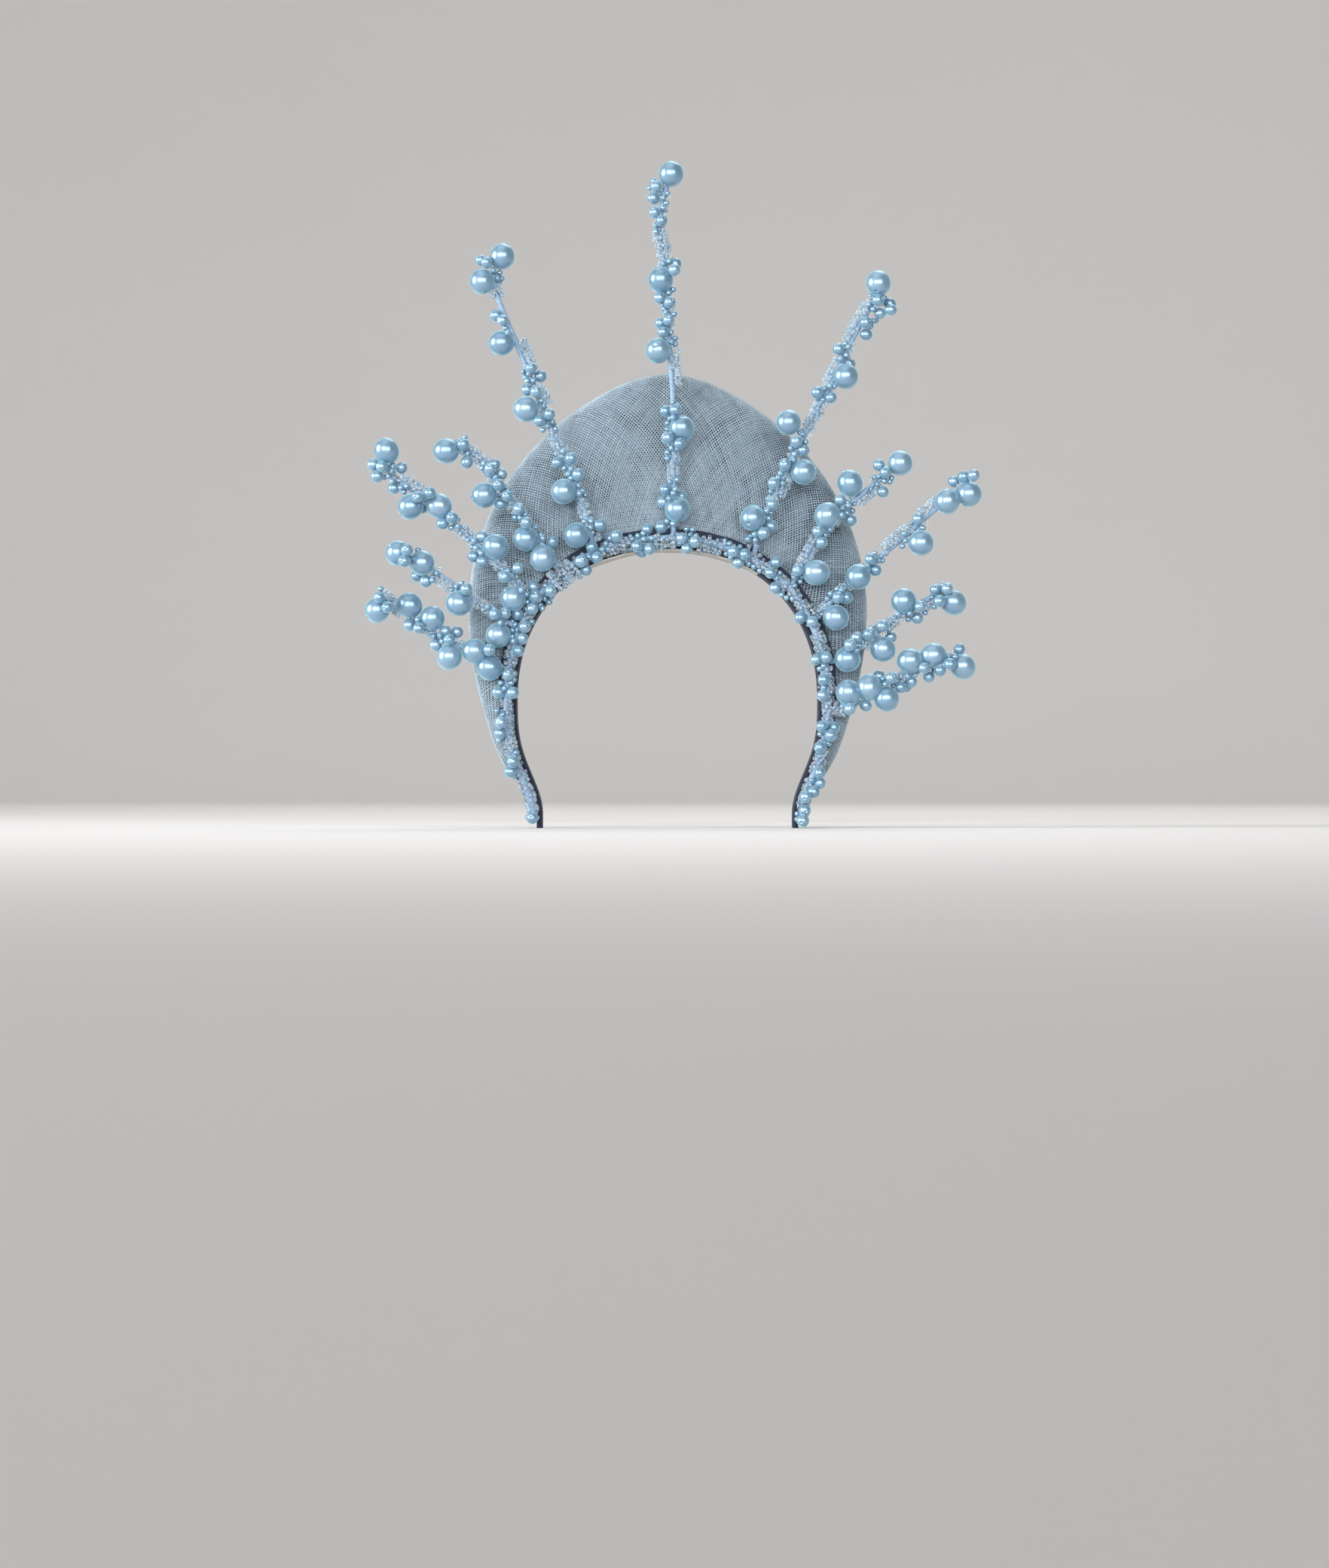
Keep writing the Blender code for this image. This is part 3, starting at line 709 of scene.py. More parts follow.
def level_crossings(field, level):
    """Where one thread crosses the grid's lines: (start index, end index, share) and the segments between."""
    above = field >= level
    columns, rows = field.shape
    index = np.arange(columns * rows).reshape(columns, rows)
    cross_column = above[1:, :] != above[:-1, :]
    cross_row = above[:, 1:] != above[:, :-1]
    number = np.full((2, columns, rows), -1)
    count = cross_column.sum()
    number[0, :-1, :][cross_column] = np.arange(count)
    number[1, :, :-1][cross_row] = count + np.arange(cross_row.sum())
    starts = np.concatenate([index[:-1, :][cross_column], index[:, :-1][cross_row]])
    ends = np.concatenate([index[1:, :][cross_column], index[:, 1:][cross_row]])
    edges = np.stack([
        number[0, :-1, :-1], number[0, :-1, 1:], number[1, :-1, :-1], number[1, 1:, :-1],
    ], axis=-1).reshape(-1, 4)
    edges = edges[(edges >= 0).sum(-1) == 2]
    segments = np.sort(edges, axis=-1)[:, 2:]
    flat = field.ravel()
    shares = (level - flat[starts]) / (flat[ends] - flat[starts])
    return starts, ends, shares, segments


def thread_layer(name, points, normals, field, other, finish, seed):
    """All threads of one direction: closed three-sided strands that lie on the crown's outer side."""
    drift = random.Random(seed)
    slope = surface_slope(points, field)
    grids = np.concatenate([points, normals, slope, other[..., None]], axis=-1).reshape(-1, 10)
    vertices, faces, pairs = [], [], []
    first = 0
    for level in range(math.ceil(field.min()), math.floor(field.max()) + 1):
        starts, ends, shares, segments = level_crossings(field, level)
        if not len(segments):
            continue
        here = grids[starts] * (1 - shares[:, None]) + grids[ends] * shares[:, None]
        centre, normal, side, crossing = here[:, :3], unit(here[:, 3:6]), unit(here[:, 6:9]), here[:, 9]
        width = THREAD_WIDTH * drift.uniform(*THREAD_WIDTH_SHARES)
        weave = THREAD_WAVE * np.cos(math.pi * (crossing + level))[:, None]
        centre = centre + side * drift.uniform(-THREAD_SHIFT, THREAD_SHIFT)
        # A third draw for each thread, which keeps the order of the others
        drift.random()
        low = normal * (weave - THREAD_HEIGHT)
        strands = np.stack([
            centre + side * width / 2 + low,
            centre + normal * weave,
            centre - side * width / 2 + low,
        ], axis=1)
        run = centre[segments[:, 1]] - centre[segments[:, 0]]
        facing = np.einsum("ij,ij->i", np.cross(side, normal)[segments[:, 0]], run)
        segments[facing < 0] = segments[facing < 0][:, ::-1]
        for start, end in (first + 3 * segments).tolist():
            for edge, beside in ((0, 1), (1, 2), (2, 0)):
                faces.append((start + edge, start + beside, end + beside, end + edge))
        begins = np.setdiff1d(segments[:, 0], segments[:, 1])
        stops = np.setdiff1d(segments[:, 1], segments[:, 0])
        faces.extend((low, low + 2, low + 1) for low in (first + 3 * begins).tolist())
        faces.extend((low, low + 1, low + 2) for low in (first + 3 * stops).tolist())
        vertices.append(strands.reshape(-1, 3))
        counts = np.stack([np.full(len(crossing), float(level)), crossing], axis=1)
        pairs.append(np.repeat(counts, 3, axis=0))
        first += 3 * len(crossing)
    piece = mesh_object(
        name, np.concatenate(vertices), faces, [finish], maps={"weave": np.concatenate(pairs)})
    dress(piece, "sinamay")


# Bead shapes

def ball_shape(sides, rings):
    """A ball with a small drilled hole at each pole: points and faces, of radius 1 round Z."""
    points = [(0.0, 0.0, DRILL_DEPTH)]
    for turn in np.linspace(DRILL_ANGLE, math.pi - DRILL_ANGLE, rings):
        points += circle(sides, math.sin(turn), math.cos(turn))
    points.append((0.0, 0.0, -DRILL_DEPTH))
    low = 1 + (rings - 1) * sides
    faces = grid_faces(rings, sides, first=1, round_rows=True)
    for side in range(sides):
        beside = (side + 1) % sides
        faces.append((0, 1 + side, 1 + beside))
        faces.append((low + side, low + sides, low + beside))
    return np.array(points), faces


def ring_shape(sides, turns):
    """A drilled seed bead, round Z, of outer radius 1."""
    middle = (1 + GLASS_HOLE) / 2
    thick = (1 - GLASS_HOLE) / 2
    points = []
    for side in range(sides):
        angle = math.tau * side / sides
        for turn in range(turns):
            tilt = math.tau * turn / turns
            reach = middle + thick * math.cos(tilt)
            points.append((reach * math.cos(angle), reach * math.sin(angle), GLASS_HEIGHT * math.sin(tilt)))
    return np.array(points), grid_faces(sides, turns, round_columns=True, round_rows=True)


LARGE_SHAPE = ball_shape(sides=28, rings=17)
MEDIUM_SHAPE = ball_shape(sides=18, rings=11)
SMALL_SHAPE = ball_shape(sides=12, rings=8)
GLASS_SHAPE = ring_shape(sides=10, turns=5)


def turned_to(axis):
    """Rotation matrix that turns Z to an axis."""
    axis = axis / length(axis)
    helper = UP if abs(axis[2]) < NEARLY_UP else RIGHT
    x_side = unit(np.cross(helper, axis))
    return np.stack([x_side, np.cross(axis, x_side), axis], axis=1)


class Beadwork:
    """One piece under construction: taped wire, pearls, glass beads and beading wire in one mesh."""

    TAPE, PEARL, GLASS, WIRE = range(4)

    def __init__(self, name, seed):
        self.name = name
        self.drift = random.Random(seed)
        self.vertices, self.faces, self.face_slots = [], [], []
        self.pairs, self.tints = [], []
        self.count = 0

    def add(self, points, faces, slot, pairs=None, tint=None):
        """Adds points and faces of one body."""
        self.vertices.append(points)
        self.faces.extend([tuple(self.count + corner for corner in face) for face in faces])
        self.face_slots.extend([slot] * len(faces))
        self.pairs.append(np.zeros((len(points), 2)) if pairs is None else np.array(pairs))
        self.tints.append(np.full(len(points), self.drift.random() if tint is None else tint))
        self.count += len(points)

    def bead(self, shape, slot, centre, radius, axis, stretch=1.0):
        """Adds one bead whose drilled hole runs along an axis."""
        points, faces = shape
        scaled = points * (radius, radius, radius * stretch)
        self.add(scaled @ turned_to(axis).T + centre, faces, slot)

    def scatter(self):
        """A random vector that tips a bead's drilled hole."""
        return np.array([self.drift.gauss(0, HOLE_SCATTER) for _ in range(3)])

    def tube(self, line, radius, slot, sides, ridge=0.0, shares=None):
        """Adds a round wire along a line, with a ridge where the tape's turns overlap."""
        line = np.array(line)
        shares = np.ones(len(line)) if shares is None else shares
        runs = unit(np.gradient(line, axis=0))
        side = unit(np.cross(runs[0], TUBE_HELPER))
        points, pairs = [], []
        for place, run, distance, share in zip(line, runs, distances(line), shares):
            side = unit(side - run * side.dot(run))
            other = np.cross(run, side)
            for number in range(sides):
                around = number / sides
                lap = (distance / TAPE_TURN + around) % 1.0
                reach = radius * share * (1 + ridge * (lap - 0.5))
                points.append(place + turned(side, other, math.tau * around) * reach)
                pairs.append((distance, around))
        self.add(np.array(points), ring_tube(len(line), sides), slot, pairs)

    def finish(self, finishes, node):
        """Makes the object, which stands for a node."""
        piece = mesh_object(
            self.name, np.concatenate(self.vertices), self.faces, finishes, self.face_slots,
            maps={"tape": np.concatenate(self.pairs)}, values={"tint": np.concatenate(self.tints)})
        dress(piece, "pearls_on_taped_wire", node)


# Stems and what is threaded on them

class Stem:
    """A wire's centre line with its own along and across. A hand of -1 turns across to the other side."""

    def __init__(self, line, hand=1, start=0.0):
        self.line = np.array(line)
        self.reach = start + distances(self.line)
        self.hand = hand

    def place(self, along, across=0.0):
        """Point on the stem, the point beside it, and the directions along and across."""
        spot = int(np.clip(np.searchsorted(self.reach, along) - 1, 0, len(self.line) - 2))
        low, high = max(spot - 1, 0), min(spot + 2, len(self.line) - 1)
        run = unit(self.line[high] - self.line[low])
        side = unit(np.array((run[2], 0.0, -run[0]))) * self.hand
        share = along - self.reach[spot]
        step = unit(self.line[spot + 1] - self.line[spot])
        beside = self.line[spot] + step * share
        on_stem = self.line[spot] + step * min(max(share, 0.0), self.reach[spot + 1] - self.reach[spot])
        return on_stem, beside + side * across, run, side


def round_ended(line, radius):
    """A wire's line with added points in its rounded ends, and the share of the radius at each point."""
    start, end = line[0], line[-1]
    onward, back = unit(line[1] - start), unit(line[-2] - end)
    made = [(start + onward * radius * (1 - math.cos(turn)), math.sin(turn)) for turn in END_TURNS]
    for point in line:
        if min(length(point - start), length(point - end)) > END_CLEARANCE * radius:
            made.append((point, 1.0))
    made += [(end + back * radius * (1 - math.cos(turn)), math.sin(turn)) for turn in END_TURNS[::-1]]
    return np.array([point for point, _ in made]), [share for _, share in made]


def catmull(points, spacing):
    """Points at about an even spacing on a smooth curve through the given points."""
    ends = [2 * points[0] - points[1], *points, 2 * points[-1] - points[-2]]
    made = []
    for first, second, third, fourth in zip(ends[:-3], ends[1:-2], ends[2:-1], ends[3:]):
        steps = max(1, round(length(third - second) / spacing))
        for step in range(steps):
            share = step / steps
            made.append(0.5 * (
                2 * second
                + (third - first) * share
                + (2 * first - 5 * second + 4 * third - fourth) * share ** 2
                + (3 * second - first - 3 * third + fourth) * share ** 3
            ))
    made.append(np.array(points[-1]))
    return made


BAND_STATIONS = np.linspace(-1, 1, 2 * BAND_LINE_STEPS + 1)
BAND_LINE = np.array([band_point(station) for station in BAND_STATIONS])


def stem_line(spine):
    """The stem's centre line: it starts on the base wire, then comes forward."""
    flat = np.array(spine.stem, float)
    station = BAND_STATIONS[np.argmin(length(BAND_LINE - flat[0], axis=1))]
    outward = band_outward(station)
    seat = band_point(station) + outward * (WIRE_RADIUS + SEAT_GAP)
    onward = unit(outward + unit(flat[1] - seat))
    line = catmull([seat, seat + onward * ROOT_LENGTH, *flat[1:]], STEM_STEP)
    placed = []
    for point, run in zip(line, distances(line)):
        forward = smooth_between((run - ROOT_LENGTH / 2) / (2 * ROOT_LENGTH))
        placed.append(leaned(point, WIRE_Y + (STEM_Y - WIRE_Y) * forward + STEM_LEAN * run))
    return placed


def wire_stem():
    """The base wire's line, with along counted from the top."""
    reach = distances(BAND_LINE)
    half = reach[-1] / 2
    inside = np.abs(reach - half) <= half - WIRE_END_LIFT
    line = [leaned(point, WIRE_Y) for point in BAND_LINE[inside]]
    return Stem(line[::WIRE_LINE_STRIDE], hand=-1, start=WIRE_END_LIFT - half)


def settle(places, radii, stem_places, loose):
    """Moves loose beads, mostly in depth, until they only touch each other or the stem."""
    target = places.copy()
    for _ in range(SETTLE_ROUNDS):
        gaps = places[:, None] - places[None]
        distance = length(gaps, axis=-1) + np.eye(len(places)) * FAR_FROM_ITSELF
        overlap = np.clip(radii[:, None] + radii[None] - distance, 0, None)
        share = loose[:, None] / np.maximum(loose[:, None] + loose[None], TINY)
        push = (gaps / distance[..., None] * (overlap * share)[..., None]).sum(1)
        push *= SETTLE_EASE * PUSH_FROM_BEAD
        away = places - stem_places
        reach = length(away, axis=1)
        short = np.clip(radii + WIRE_RADIUS - reach, 0, None) * loose
        push += unit(away + FORWARD_NUDGE) * short[:, None] * SETTLE_EASE * PUSH_FROM_STEM
        slack = distance - radii[:, None] - radii[None]
        nearest = slack.argmin(1)
        apart = np.clip(np.minimum(slack.min(1), reach - radii - WIRE_RADIUS), 0, None) * loose
        push += unit(places[nearest] - places) * apart[:, None] * PULL_TO_BEAD
        places = places + push
        places[:, [0, 2]] += (target - places)[:, [0, 2]] * PULL_HOME * loose[:, None]
    return places


def beads_on(work, stem, plan):
    """Places a stem's pearls with their thin wires, then the fill between them and the loops of glass."""
    kinds = (
        (plan.large, LARGE_PEARL / 2, LARGE_SHAPE, 0.0),
        (plan.medium, MEDIUM_PEARL / 2, MEDIUM_SHAPE, 1.0),
        (plan.small, SMALL_PEARL / 2, SMALL_SHAPE, 1.0),
    )
    pearls = []
    for rows, size, shape, free in kinds:
        for along, across in rows:
            on_stem, beside, run, _ = stem.place(along, across)
            radius = size
            forward = PEARL_FORWARD
            if free:
                radius = size * work.drift.uniform(*PEARL_SIZES)
                forward = math.sqrt(max((radius + WIRE_RADIUS) ** 2 - across ** 2, FORWARD_SQUARE_LEAST))
            pearls.append((beside + FORWARD * forward, radius, on_stem, free, shape, run))
    places, radii, anchors, loose, shapes, runs = zip(*pearls)
    places = settle(np.array(places), np.array(radii), np.array(anchors), np.array(loose))
    for place, radius, anchor, run, shape in zip(places, radii, anchors, runs, shapes):
        away = place - anchor
        axis = unit(run + work.scatter())
        if length(away) > radius:
            axis = unit(axis * HOLE_ALONG_STEM + unit(away))
        work.bead(shape, work.PEARL, place, radius, axis, work.drift.uniform(*PEARL_STRETCH))
        thickness = BEADING_WIRE_RADIUS * (BEADING_WIRE_FOR_LARGE if shape is LARGE_SHAPE else 1.0)
        work.tube([anchor, (anchor + place) / 2, place], thickness, work.WIRE, BEADING_WIRE_SIDES)
    places, radii = fill_between(work, stem, plan, list(places), list(radii))
    glass_on(work, stem, plan, places, radii)


def fill_between(work, stem, plan, places, radii):
    """Fills the bare tape beside the pearls with small pearls and glass beads."""
    spots = [row[0] for row in (*plan.large, *plan.medium, *plan.small)]
    for number in range(round((max(spots) - min(spots)) / FILL_STEP)):
        along = min(spots) + FILL_STEP * (number + work.drift.random())
        on_stem, _, run, side = stem.place(along)
        front = unit(FORWARD - run * FORWARD.dot(run))
        angle = work.drift.uniform(-FILL_TURN, FILL_TURN)
        is_pearl = work.drift.random() < FILL_PEARLS
        size = (SMALL_PEARL * FILL_PEARL_SIZE if is_pearl else GLASS_BEAD) / 2
        size *= work.drift.uniform(*FILL_SIZES)
        place = on_stem + turned(front, side, angle) * (WIRE_RADIUS + size)
        tangent = turned(side, -front, angle)
        touching = np.array(radii) + size
        gaps = length(np.array(places) - place, axis=1) - FILL_NEAREST * touching
        is_clear = any(row[0] < along < row[1] for row in plan.clear)
        is_bare = min(abs(along - spot) for spot in spots) > FILL_REACH
        if is_clear or is_bare or gaps.min() < 0:
            continue
        places.append(place)
        radii.append(size)
        if is_pearl:
            work.bead(SMALL_SHAPE, work.PEARL, place, size, unit(tangent), work.drift.uniform(*PEARL_SIZES))
        else:
            work.bead(GLASS_SHAPE, work.GLASS, place, size, unit(tangent))
    return places, radii


def glass_on(work, stem, plan, places, radii):
    """Wraps each clear stretch of the stem in loops of glass beads. Wide loops stand off a little."""
    taken = list(places)
    keep_off = [radius + GLASS_BEAD * KEEP_OFF_PEARL for radius in radii]
    off_axis = WIRE_RADIUS + GLASS_BEAD * KEEP_OFF_STEM
    tight = WIRE_RADIUS + GLASS_BEAD * LOOP_RADIUS
    for start, end, across, spread in plan.clear:
        if not spread:
            continue
        crowding = max(1.0, (spread / LOOP_WIDE) ** LOOP_WIDE_POWER)
        loops = max(2, round((end - start) / LOOP_STEP * crowding))
        for loop in range(loops):
            scatter = work.drift.uniform(-LOOP_SCATTER, LOOP_SCATTER)
            on_stem, _, run, side = stem.place(start + (end - start) * (loop + 0.5 + scatter) / loops)
            depth = np.cross(run, side)
            slack = max(spread - GLASS_BEAD / 2 - tight, 0.0)
            slack *= work.drift.uniform(0.0, 1.0) ** LOOP_SLACK_POWER
            stand_off = work.drift.uniform(-math.pi, math.pi)
            shift = turned(side, depth, stand_off)
            middle = on_stem + shift * slack * LOOP_OFF_MIDDLE + side * across * LOOP_OFF_MIDDLE
            reach = tight + slack
            tip = work.drift.uniform(-LOOP_TIP, LOOP_TIP)
            count = round(math.tau * reach / (GLASS_BEAD * LOOP_PITCH))
            first = work.drift.uniform(0, math.tau)
            for number in range(count):
                angle = first + math.tau * number / count
                gone = work.drift.random() < LOOP_GAPS
                size = GLASS_BEAD / 2 * work.drift.uniform(*LOOP_SIZES)
                lean = work.scatter()
                place = middle + turned(side, depth, angle) * reach
                place = place + run * tip * reach * math.cos(angle - stand_off)
                off_stem = place - on_stem
                off_stem = length(off_stem - run * off_stem.dot(run))
                gaps = length(np.array(taken) - place, axis=1)
                if gone or off_stem < off_axis or (gaps < keep_off).any():
                    continue
                taken.append(place)
                keep_off.append(GLASS_BEAD * KEEP_OFF_GLASS)
                tangent = turned(depth, -side, angle)
                work.bead(GLASS_SHAPE, work.GLASS, place, size, unit(tangent + lean))


def beaded(plan, stem, radius, seed, finishes):
    """A taped stem or wire with all its beads."""
    work = Beadwork(plan.name + "_beaded", seed)
    line, shares = round_ended(stem.line, radius)
    work.tube(line, radius, work.TAPE, TAPE_SIDES, TAPE_RIDGE, shares)
    beads_on(work, stem, plan)
    work.finish(finishes, plan.name)


# Materials

class Recipe:
    """A node material under construction."""

    def __init__(self, name):
        self.material = bpy.data.materials.new(name)
        self.material.use_nodes = True
        self.tree = self.material.node_tree
        self.shader = self.tree.nodes["Principled BSDF"]

    def node(self, kind, inputs=None, **settings):
        made = self.tree.nodes.new(kind)
        for key, value in settings.items():
            setattr(made, key, value)
        for key, value in (inputs or {}).items():
            self.feed(made.inputs[key], value)
        return made

    def feed(self, socket, value):
        if isinstance(value, bpy.types.NodeSocket):
            self.tree.links.new(value, socket)
        else:
            socket.default_value = value

    def math(self, operation, first, second=0.0):
        return self.node("ShaderNodeMath", {0: first, 1: second}, operation=operation).outputs[0]

    def plus(self, first, second):
        return self.math("ADD", first, second)

    def times(self, first, second):
        return self.math("MULTIPLY", first, second)

    def noise(self, scale, detail=2.0, coordinates=None):
        vector = coordinates or self.node("ShaderNodeTexCoord").outputs["Object"]
        made = self.node("ShaderNodeTexNoise", {"Vector": vector, "Scale": scale, "Detail": detail})
        return made.outputs[0]

    def between(self, share, low, high, start=0.0, end=1.0):
        """Maps start to end onto the range from low to high."""
        inputs = {"Value": share, "From Min": start, "From Max": end, "To Min": low, "To Max": high}
        return self.node("ShaderNodeMapRange", inputs).outputs[0]

    def mix(self, share, first, second):
        made = self.node("ShaderNodeMix", data_type="RGBA")
        self.feed(made.inputs["Factor"], share)
        self.feed(made.inputs["A"], rgba(first))
        self.feed(made.inputs["B"], rgba(second))
        return made.outputs["Result"]

    def uv(self, title):
        split = self.node("ShaderNodeSeparateXYZ", {0: self.node("ShaderNodeUVMap", uv_map=title).outputs[0]})
        return split.outputs[0], split.outputs[1]

    def tint(self):
        return self.node("ShaderNodeAttribute", attribute_name="tint").outputs["Fac"]

    def bump(self, height, strength, distance):
        made = self.node("ShaderNodeBump", {"Height": height, "Strength": strength, "Distance": distance})
        self.feed(self.shader.inputs["Normal"], made.outputs[0])

    def done(self, **values):
        """Sets the shader's inputs and gives the material."""
        for key, value in values.items():
            self.feed(self.shader.inputs[key.replace("_", " ")], value)
        return self.material


def rgba(colour):
    """A socket or a full colour, as a node input takes it."""
    if isinstance(colour, bpy.types.NodeSocket):
        return colour
    return (*colour, 1.0)


def sinamay_layer():
    """The inner layer: a woven net drawn on the wall, its threads painted darker as in shade under the outer
    layer, with near-black painted shade in the gaps between them.
    """
    recipe = Recipe("sinamay_inner_layer")
    first, second = recipe.uv("weave")
    slow = recipe.between(recipe.noise(38.0, 1.0), -1.6, 1.6)
    fine = recipe.between(recipe.noise(260.0), -0.2, 0.2)
    first = recipe.plus(first, recipe.plus(slow, fine))
    second = recipe.plus(second, recipe.between(recipe.noise(47.0, 1.0), -1.2, 1.2))
    profiles = []
    for count in (first, second):
        off = recipe.math("ABSOLUTE", recipe.math("SUBTRACT", recipe.math("FRACT", count), 0.5))
        profiles.append(recipe.math("SUBTRACT", 1.0, recipe.math("DIVIDE", off, 0.22)))
    over = recipe.math("COSINE", recipe.times(recipe.plus(first, second), math.pi))
    raised = recipe.plus(profiles[0], recipe.times(over, 0.15))
    height = recipe.math("MAXIMUM", raised, profiles[1])
    thread = recipe.between(height, 0.0, 1.0)
    solid = recipe.between(height, 0.0, 1.0, -0.06, 0.08)
    # The inner threads' own sinamay tone, set darker as painted shade for lying under the outer layer
    thread_tone_with_painted_shade = recipe.mix(recipe.noise(90.0, 3.0), (0.09, 0.13, 0.165), (0.20, 0.26, 0.31))
    recipe.bump(thread, 0.8, 0.0002)
    # Painted shade: near black in the gaps between the inner threads, for the shaded inside of the crown seen
    # through the weave
    return recipe.done(
        Base_Color=recipe.mix(solid, (0.003, 0.008, 0.020), thread_tone_with_painted_shade),
        Roughness=recipe.between(solid, 0.95, 0.62),
        Specular_IOR_Level=0.15,
    )


def sinamay_thread():
    """The outer layer's threads: stiff, a little shiny, with painted shade where each one dips under the
    next.
    """
    recipe = Recipe("sinamay_thread")
    level, crossing = recipe.uv("weave")
    over = recipe.math("COSINE", recipe.times(recipe.plus(level, crossing), math.pi))
    patch = recipe.noise(22.0, 2.0)
    streak = recipe.noise(900.0, 2.0)
    strand = recipe.node("ShaderNodeCombineXYZ", {
        0: recipe.times(level, 7.3),
        1: recipe.times(crossing, 0.16),
    })
    along = recipe.between(recipe.noise(1.0, 2.0, strand.outputs[0]), 0.0, 1.0, 0.3, 0.7)
    tone = recipe.mix(along, (0.212, 0.288, 0.352), (0.483, 0.587, 0.668))
    tone = recipe.mix(recipe.times(patch, 0.3), tone, (0.28, 0.39, 0.43))
    # Painted shade: each thread is darker where it dips under the crossing one
    tone = recipe.mix(recipe.between(over, 0.28, 0.0), tone, (0.10, 0.15, 0.19))
    tone = recipe.mix(recipe.between(streak, 0.0, 0.3), tone, (0.62, 0.70, 0.78))
    roughness = recipe.between(streak, 0.42, 0.66)
    recipe.bump(recipe.plus(streak, recipe.times(over, 0.5)), 0.35, 0.0001)
    return recipe.done(Base_Color=tone, Roughness=roughness, Specular_IOR_Level=0.3)


# Ribbon finishes: ribs a millimetre, and the share of them that runs lengthwise
Woven = namedtuple("Woven", "name tone worn ribs lengthwise sheen")
# NAVY's tones are the ribbon's own dark navy, set darker still as painted shade for the head form's shadow on
# the head band
NAVY = Woven("navy_ribbon", (0.005, 0.009, 0.024), (0.012, 0.021, 0.046), 1.1, 0.2, 0.05)
NAVY_FOLD = Woven("navy_ribbon_fold", (0.005, 0.010, 0.027), (0.013, 0.023, 0.050), 0.9, 0.85, 0.05)
IVORY = Woven("ivory_strip", (0.47, 0.45, 0.41), (0.60, 0.57, 0.52), 1.6, 0.3, 0.1)


def woven_ribbon(plan):
    """A ribbon with fine ribs that run across it and along it."""
    recipe = Recipe(plan.name)
    run, wide = recipe.uv("ribbon")
    rib = recipe.math("SINE", recipe.times(run, math.tau * plan.ribs))
    along = recipe.math("SINE", recipe.times(wide, math.tau * plan.ribs))
    patch = recipe.noise(60.0, 4.0)
    rib = recipe.times(rib, 1 - plan.lengthwise)
    along = recipe.times(along, plan.lengthwise)
    recipe.bump(recipe.plus(rib, along), 0.5, 0.00012)
    return recipe.done(
        Base_Color=recipe.mix(recipe.times(patch, 0.8), plan.tone, plan.worn),
        Roughness=recipe.between(patch, 0.6, 0.9),
        Specular_IOR_Level=0.3,
        Sheen_Weight=plan.sheen,
        Sheen_Roughness=0.4,
    )


def tape():
    """Periwinkle tape, wound round the wire in slanting laps, with painted shade at the foot of each lap's
    overlapping edge.
    """
    recipe = Recipe("periwinkle_tape")
    distance, around = recipe.uv("tape")
    lap = recipe.math("FRACT", recipe.plus(recipe.math("DIVIDE", distance, TAPE_TURN), around))
    # Painted shade: a narrow darker band just under the edge of the overlapping lap
    edge = recipe.between(lap, 0.0, 1.0, 0.0, 0.12)
    patch = recipe.noise(240.0, 4.0)
    tone = recipe.mix(patch, (0.17, 0.265, 0.395), (0.245, 0.36, 0.49))
    recipe.bump(recipe.plus(lap, recipe.times(patch, 0.4)), 0.4, 0.0002)
    return recipe.done(
        Base_Color=recipe.mix(edge, (0.11, 0.19, 0.33), tone),
        Roughness=recipe.between(patch, 0.48, 0.72),
        Specular_IOR_Level=0.3,
        Sheen_Weight=0.1,
    )


def pearl():
    """Glass pearl with a soft aqua coat."""
    recipe = Recipe("blue_pearl")
    patch = recipe.noise(140.0, 3.0)
    tone = recipe.mix(recipe.tint(), (0.155, 0.285, 0.395), (0.235, 0.375, 0.49))
    recipe.bump(patch, 0.03, 0.0002)
    return recipe.done(
        Base_Color=recipe.mix(recipe.times(patch, 0.4), tone, (0.275, 0.37, 0.515)),
        Metallic=0.6,
        Roughness=recipe.between(patch, 0.30, 0.36),
        Specular_IOR_Level=0.6,
        Coat_Weight=0.25,
        Coat_Roughness=0.24,
        Sheen_Weight=0.9,
        Sheen_Roughness=0.42,
        Sheen_Tint=(0.48, 0.88, 1.0, 1.0),
    )


def clear_glass():
    """Clear seed beads, faintly blue."""
    recipe = Recipe("clear_glass_bead")
    patch = recipe.noise(700.0, 1.0)
    tone = recipe.mix(recipe.tint(), (0.70, 0.87, 1.0), (0.88, 0.96, 1.0))
    roughness = recipe.between(patch, 0.05, 0.14)
    return recipe.done(Base_Color=tone, Roughness=roughness, Transmission_Weight=0.83, IOR=1.3)


def beading_wire():
    """Fine grey-teal craft wire."""
    recipe = Recipe("beading_wire")
    patch = recipe.noise(500.0, 2.0)
    return recipe.done(
        Base_Color=recipe.mix(patch, (0.42, 0.52, 0.56), (0.66, 0.72, 0.75)),
        Metallic=0.9,
        Roughness=recipe.between(patch, 0.3, 0.5),
    )


def studio_ground():
    """Plain pale paper."""
    recipe = Recipe("pale_paper")
    patch = recipe.noise(1.5, 3.0)
    tone = recipe.mix(patch, (0.745, 0.735, 0.73), (0.775, 0.765, 0.76))
    return recipe.done(Base_Color=tone, Roughness=0.9)


# Stage

GROUND_RADIUS = 4.4
GROUND_CURVE = 1.5
GROUND_SEGMENTS = 96
GROUND_CURVE_STEPS = 24
WALL_TOP = 3.0
SKY_TONE = (0.80, 0.80, 0.79, 1.0)
SKY_STRENGTH = 0.25

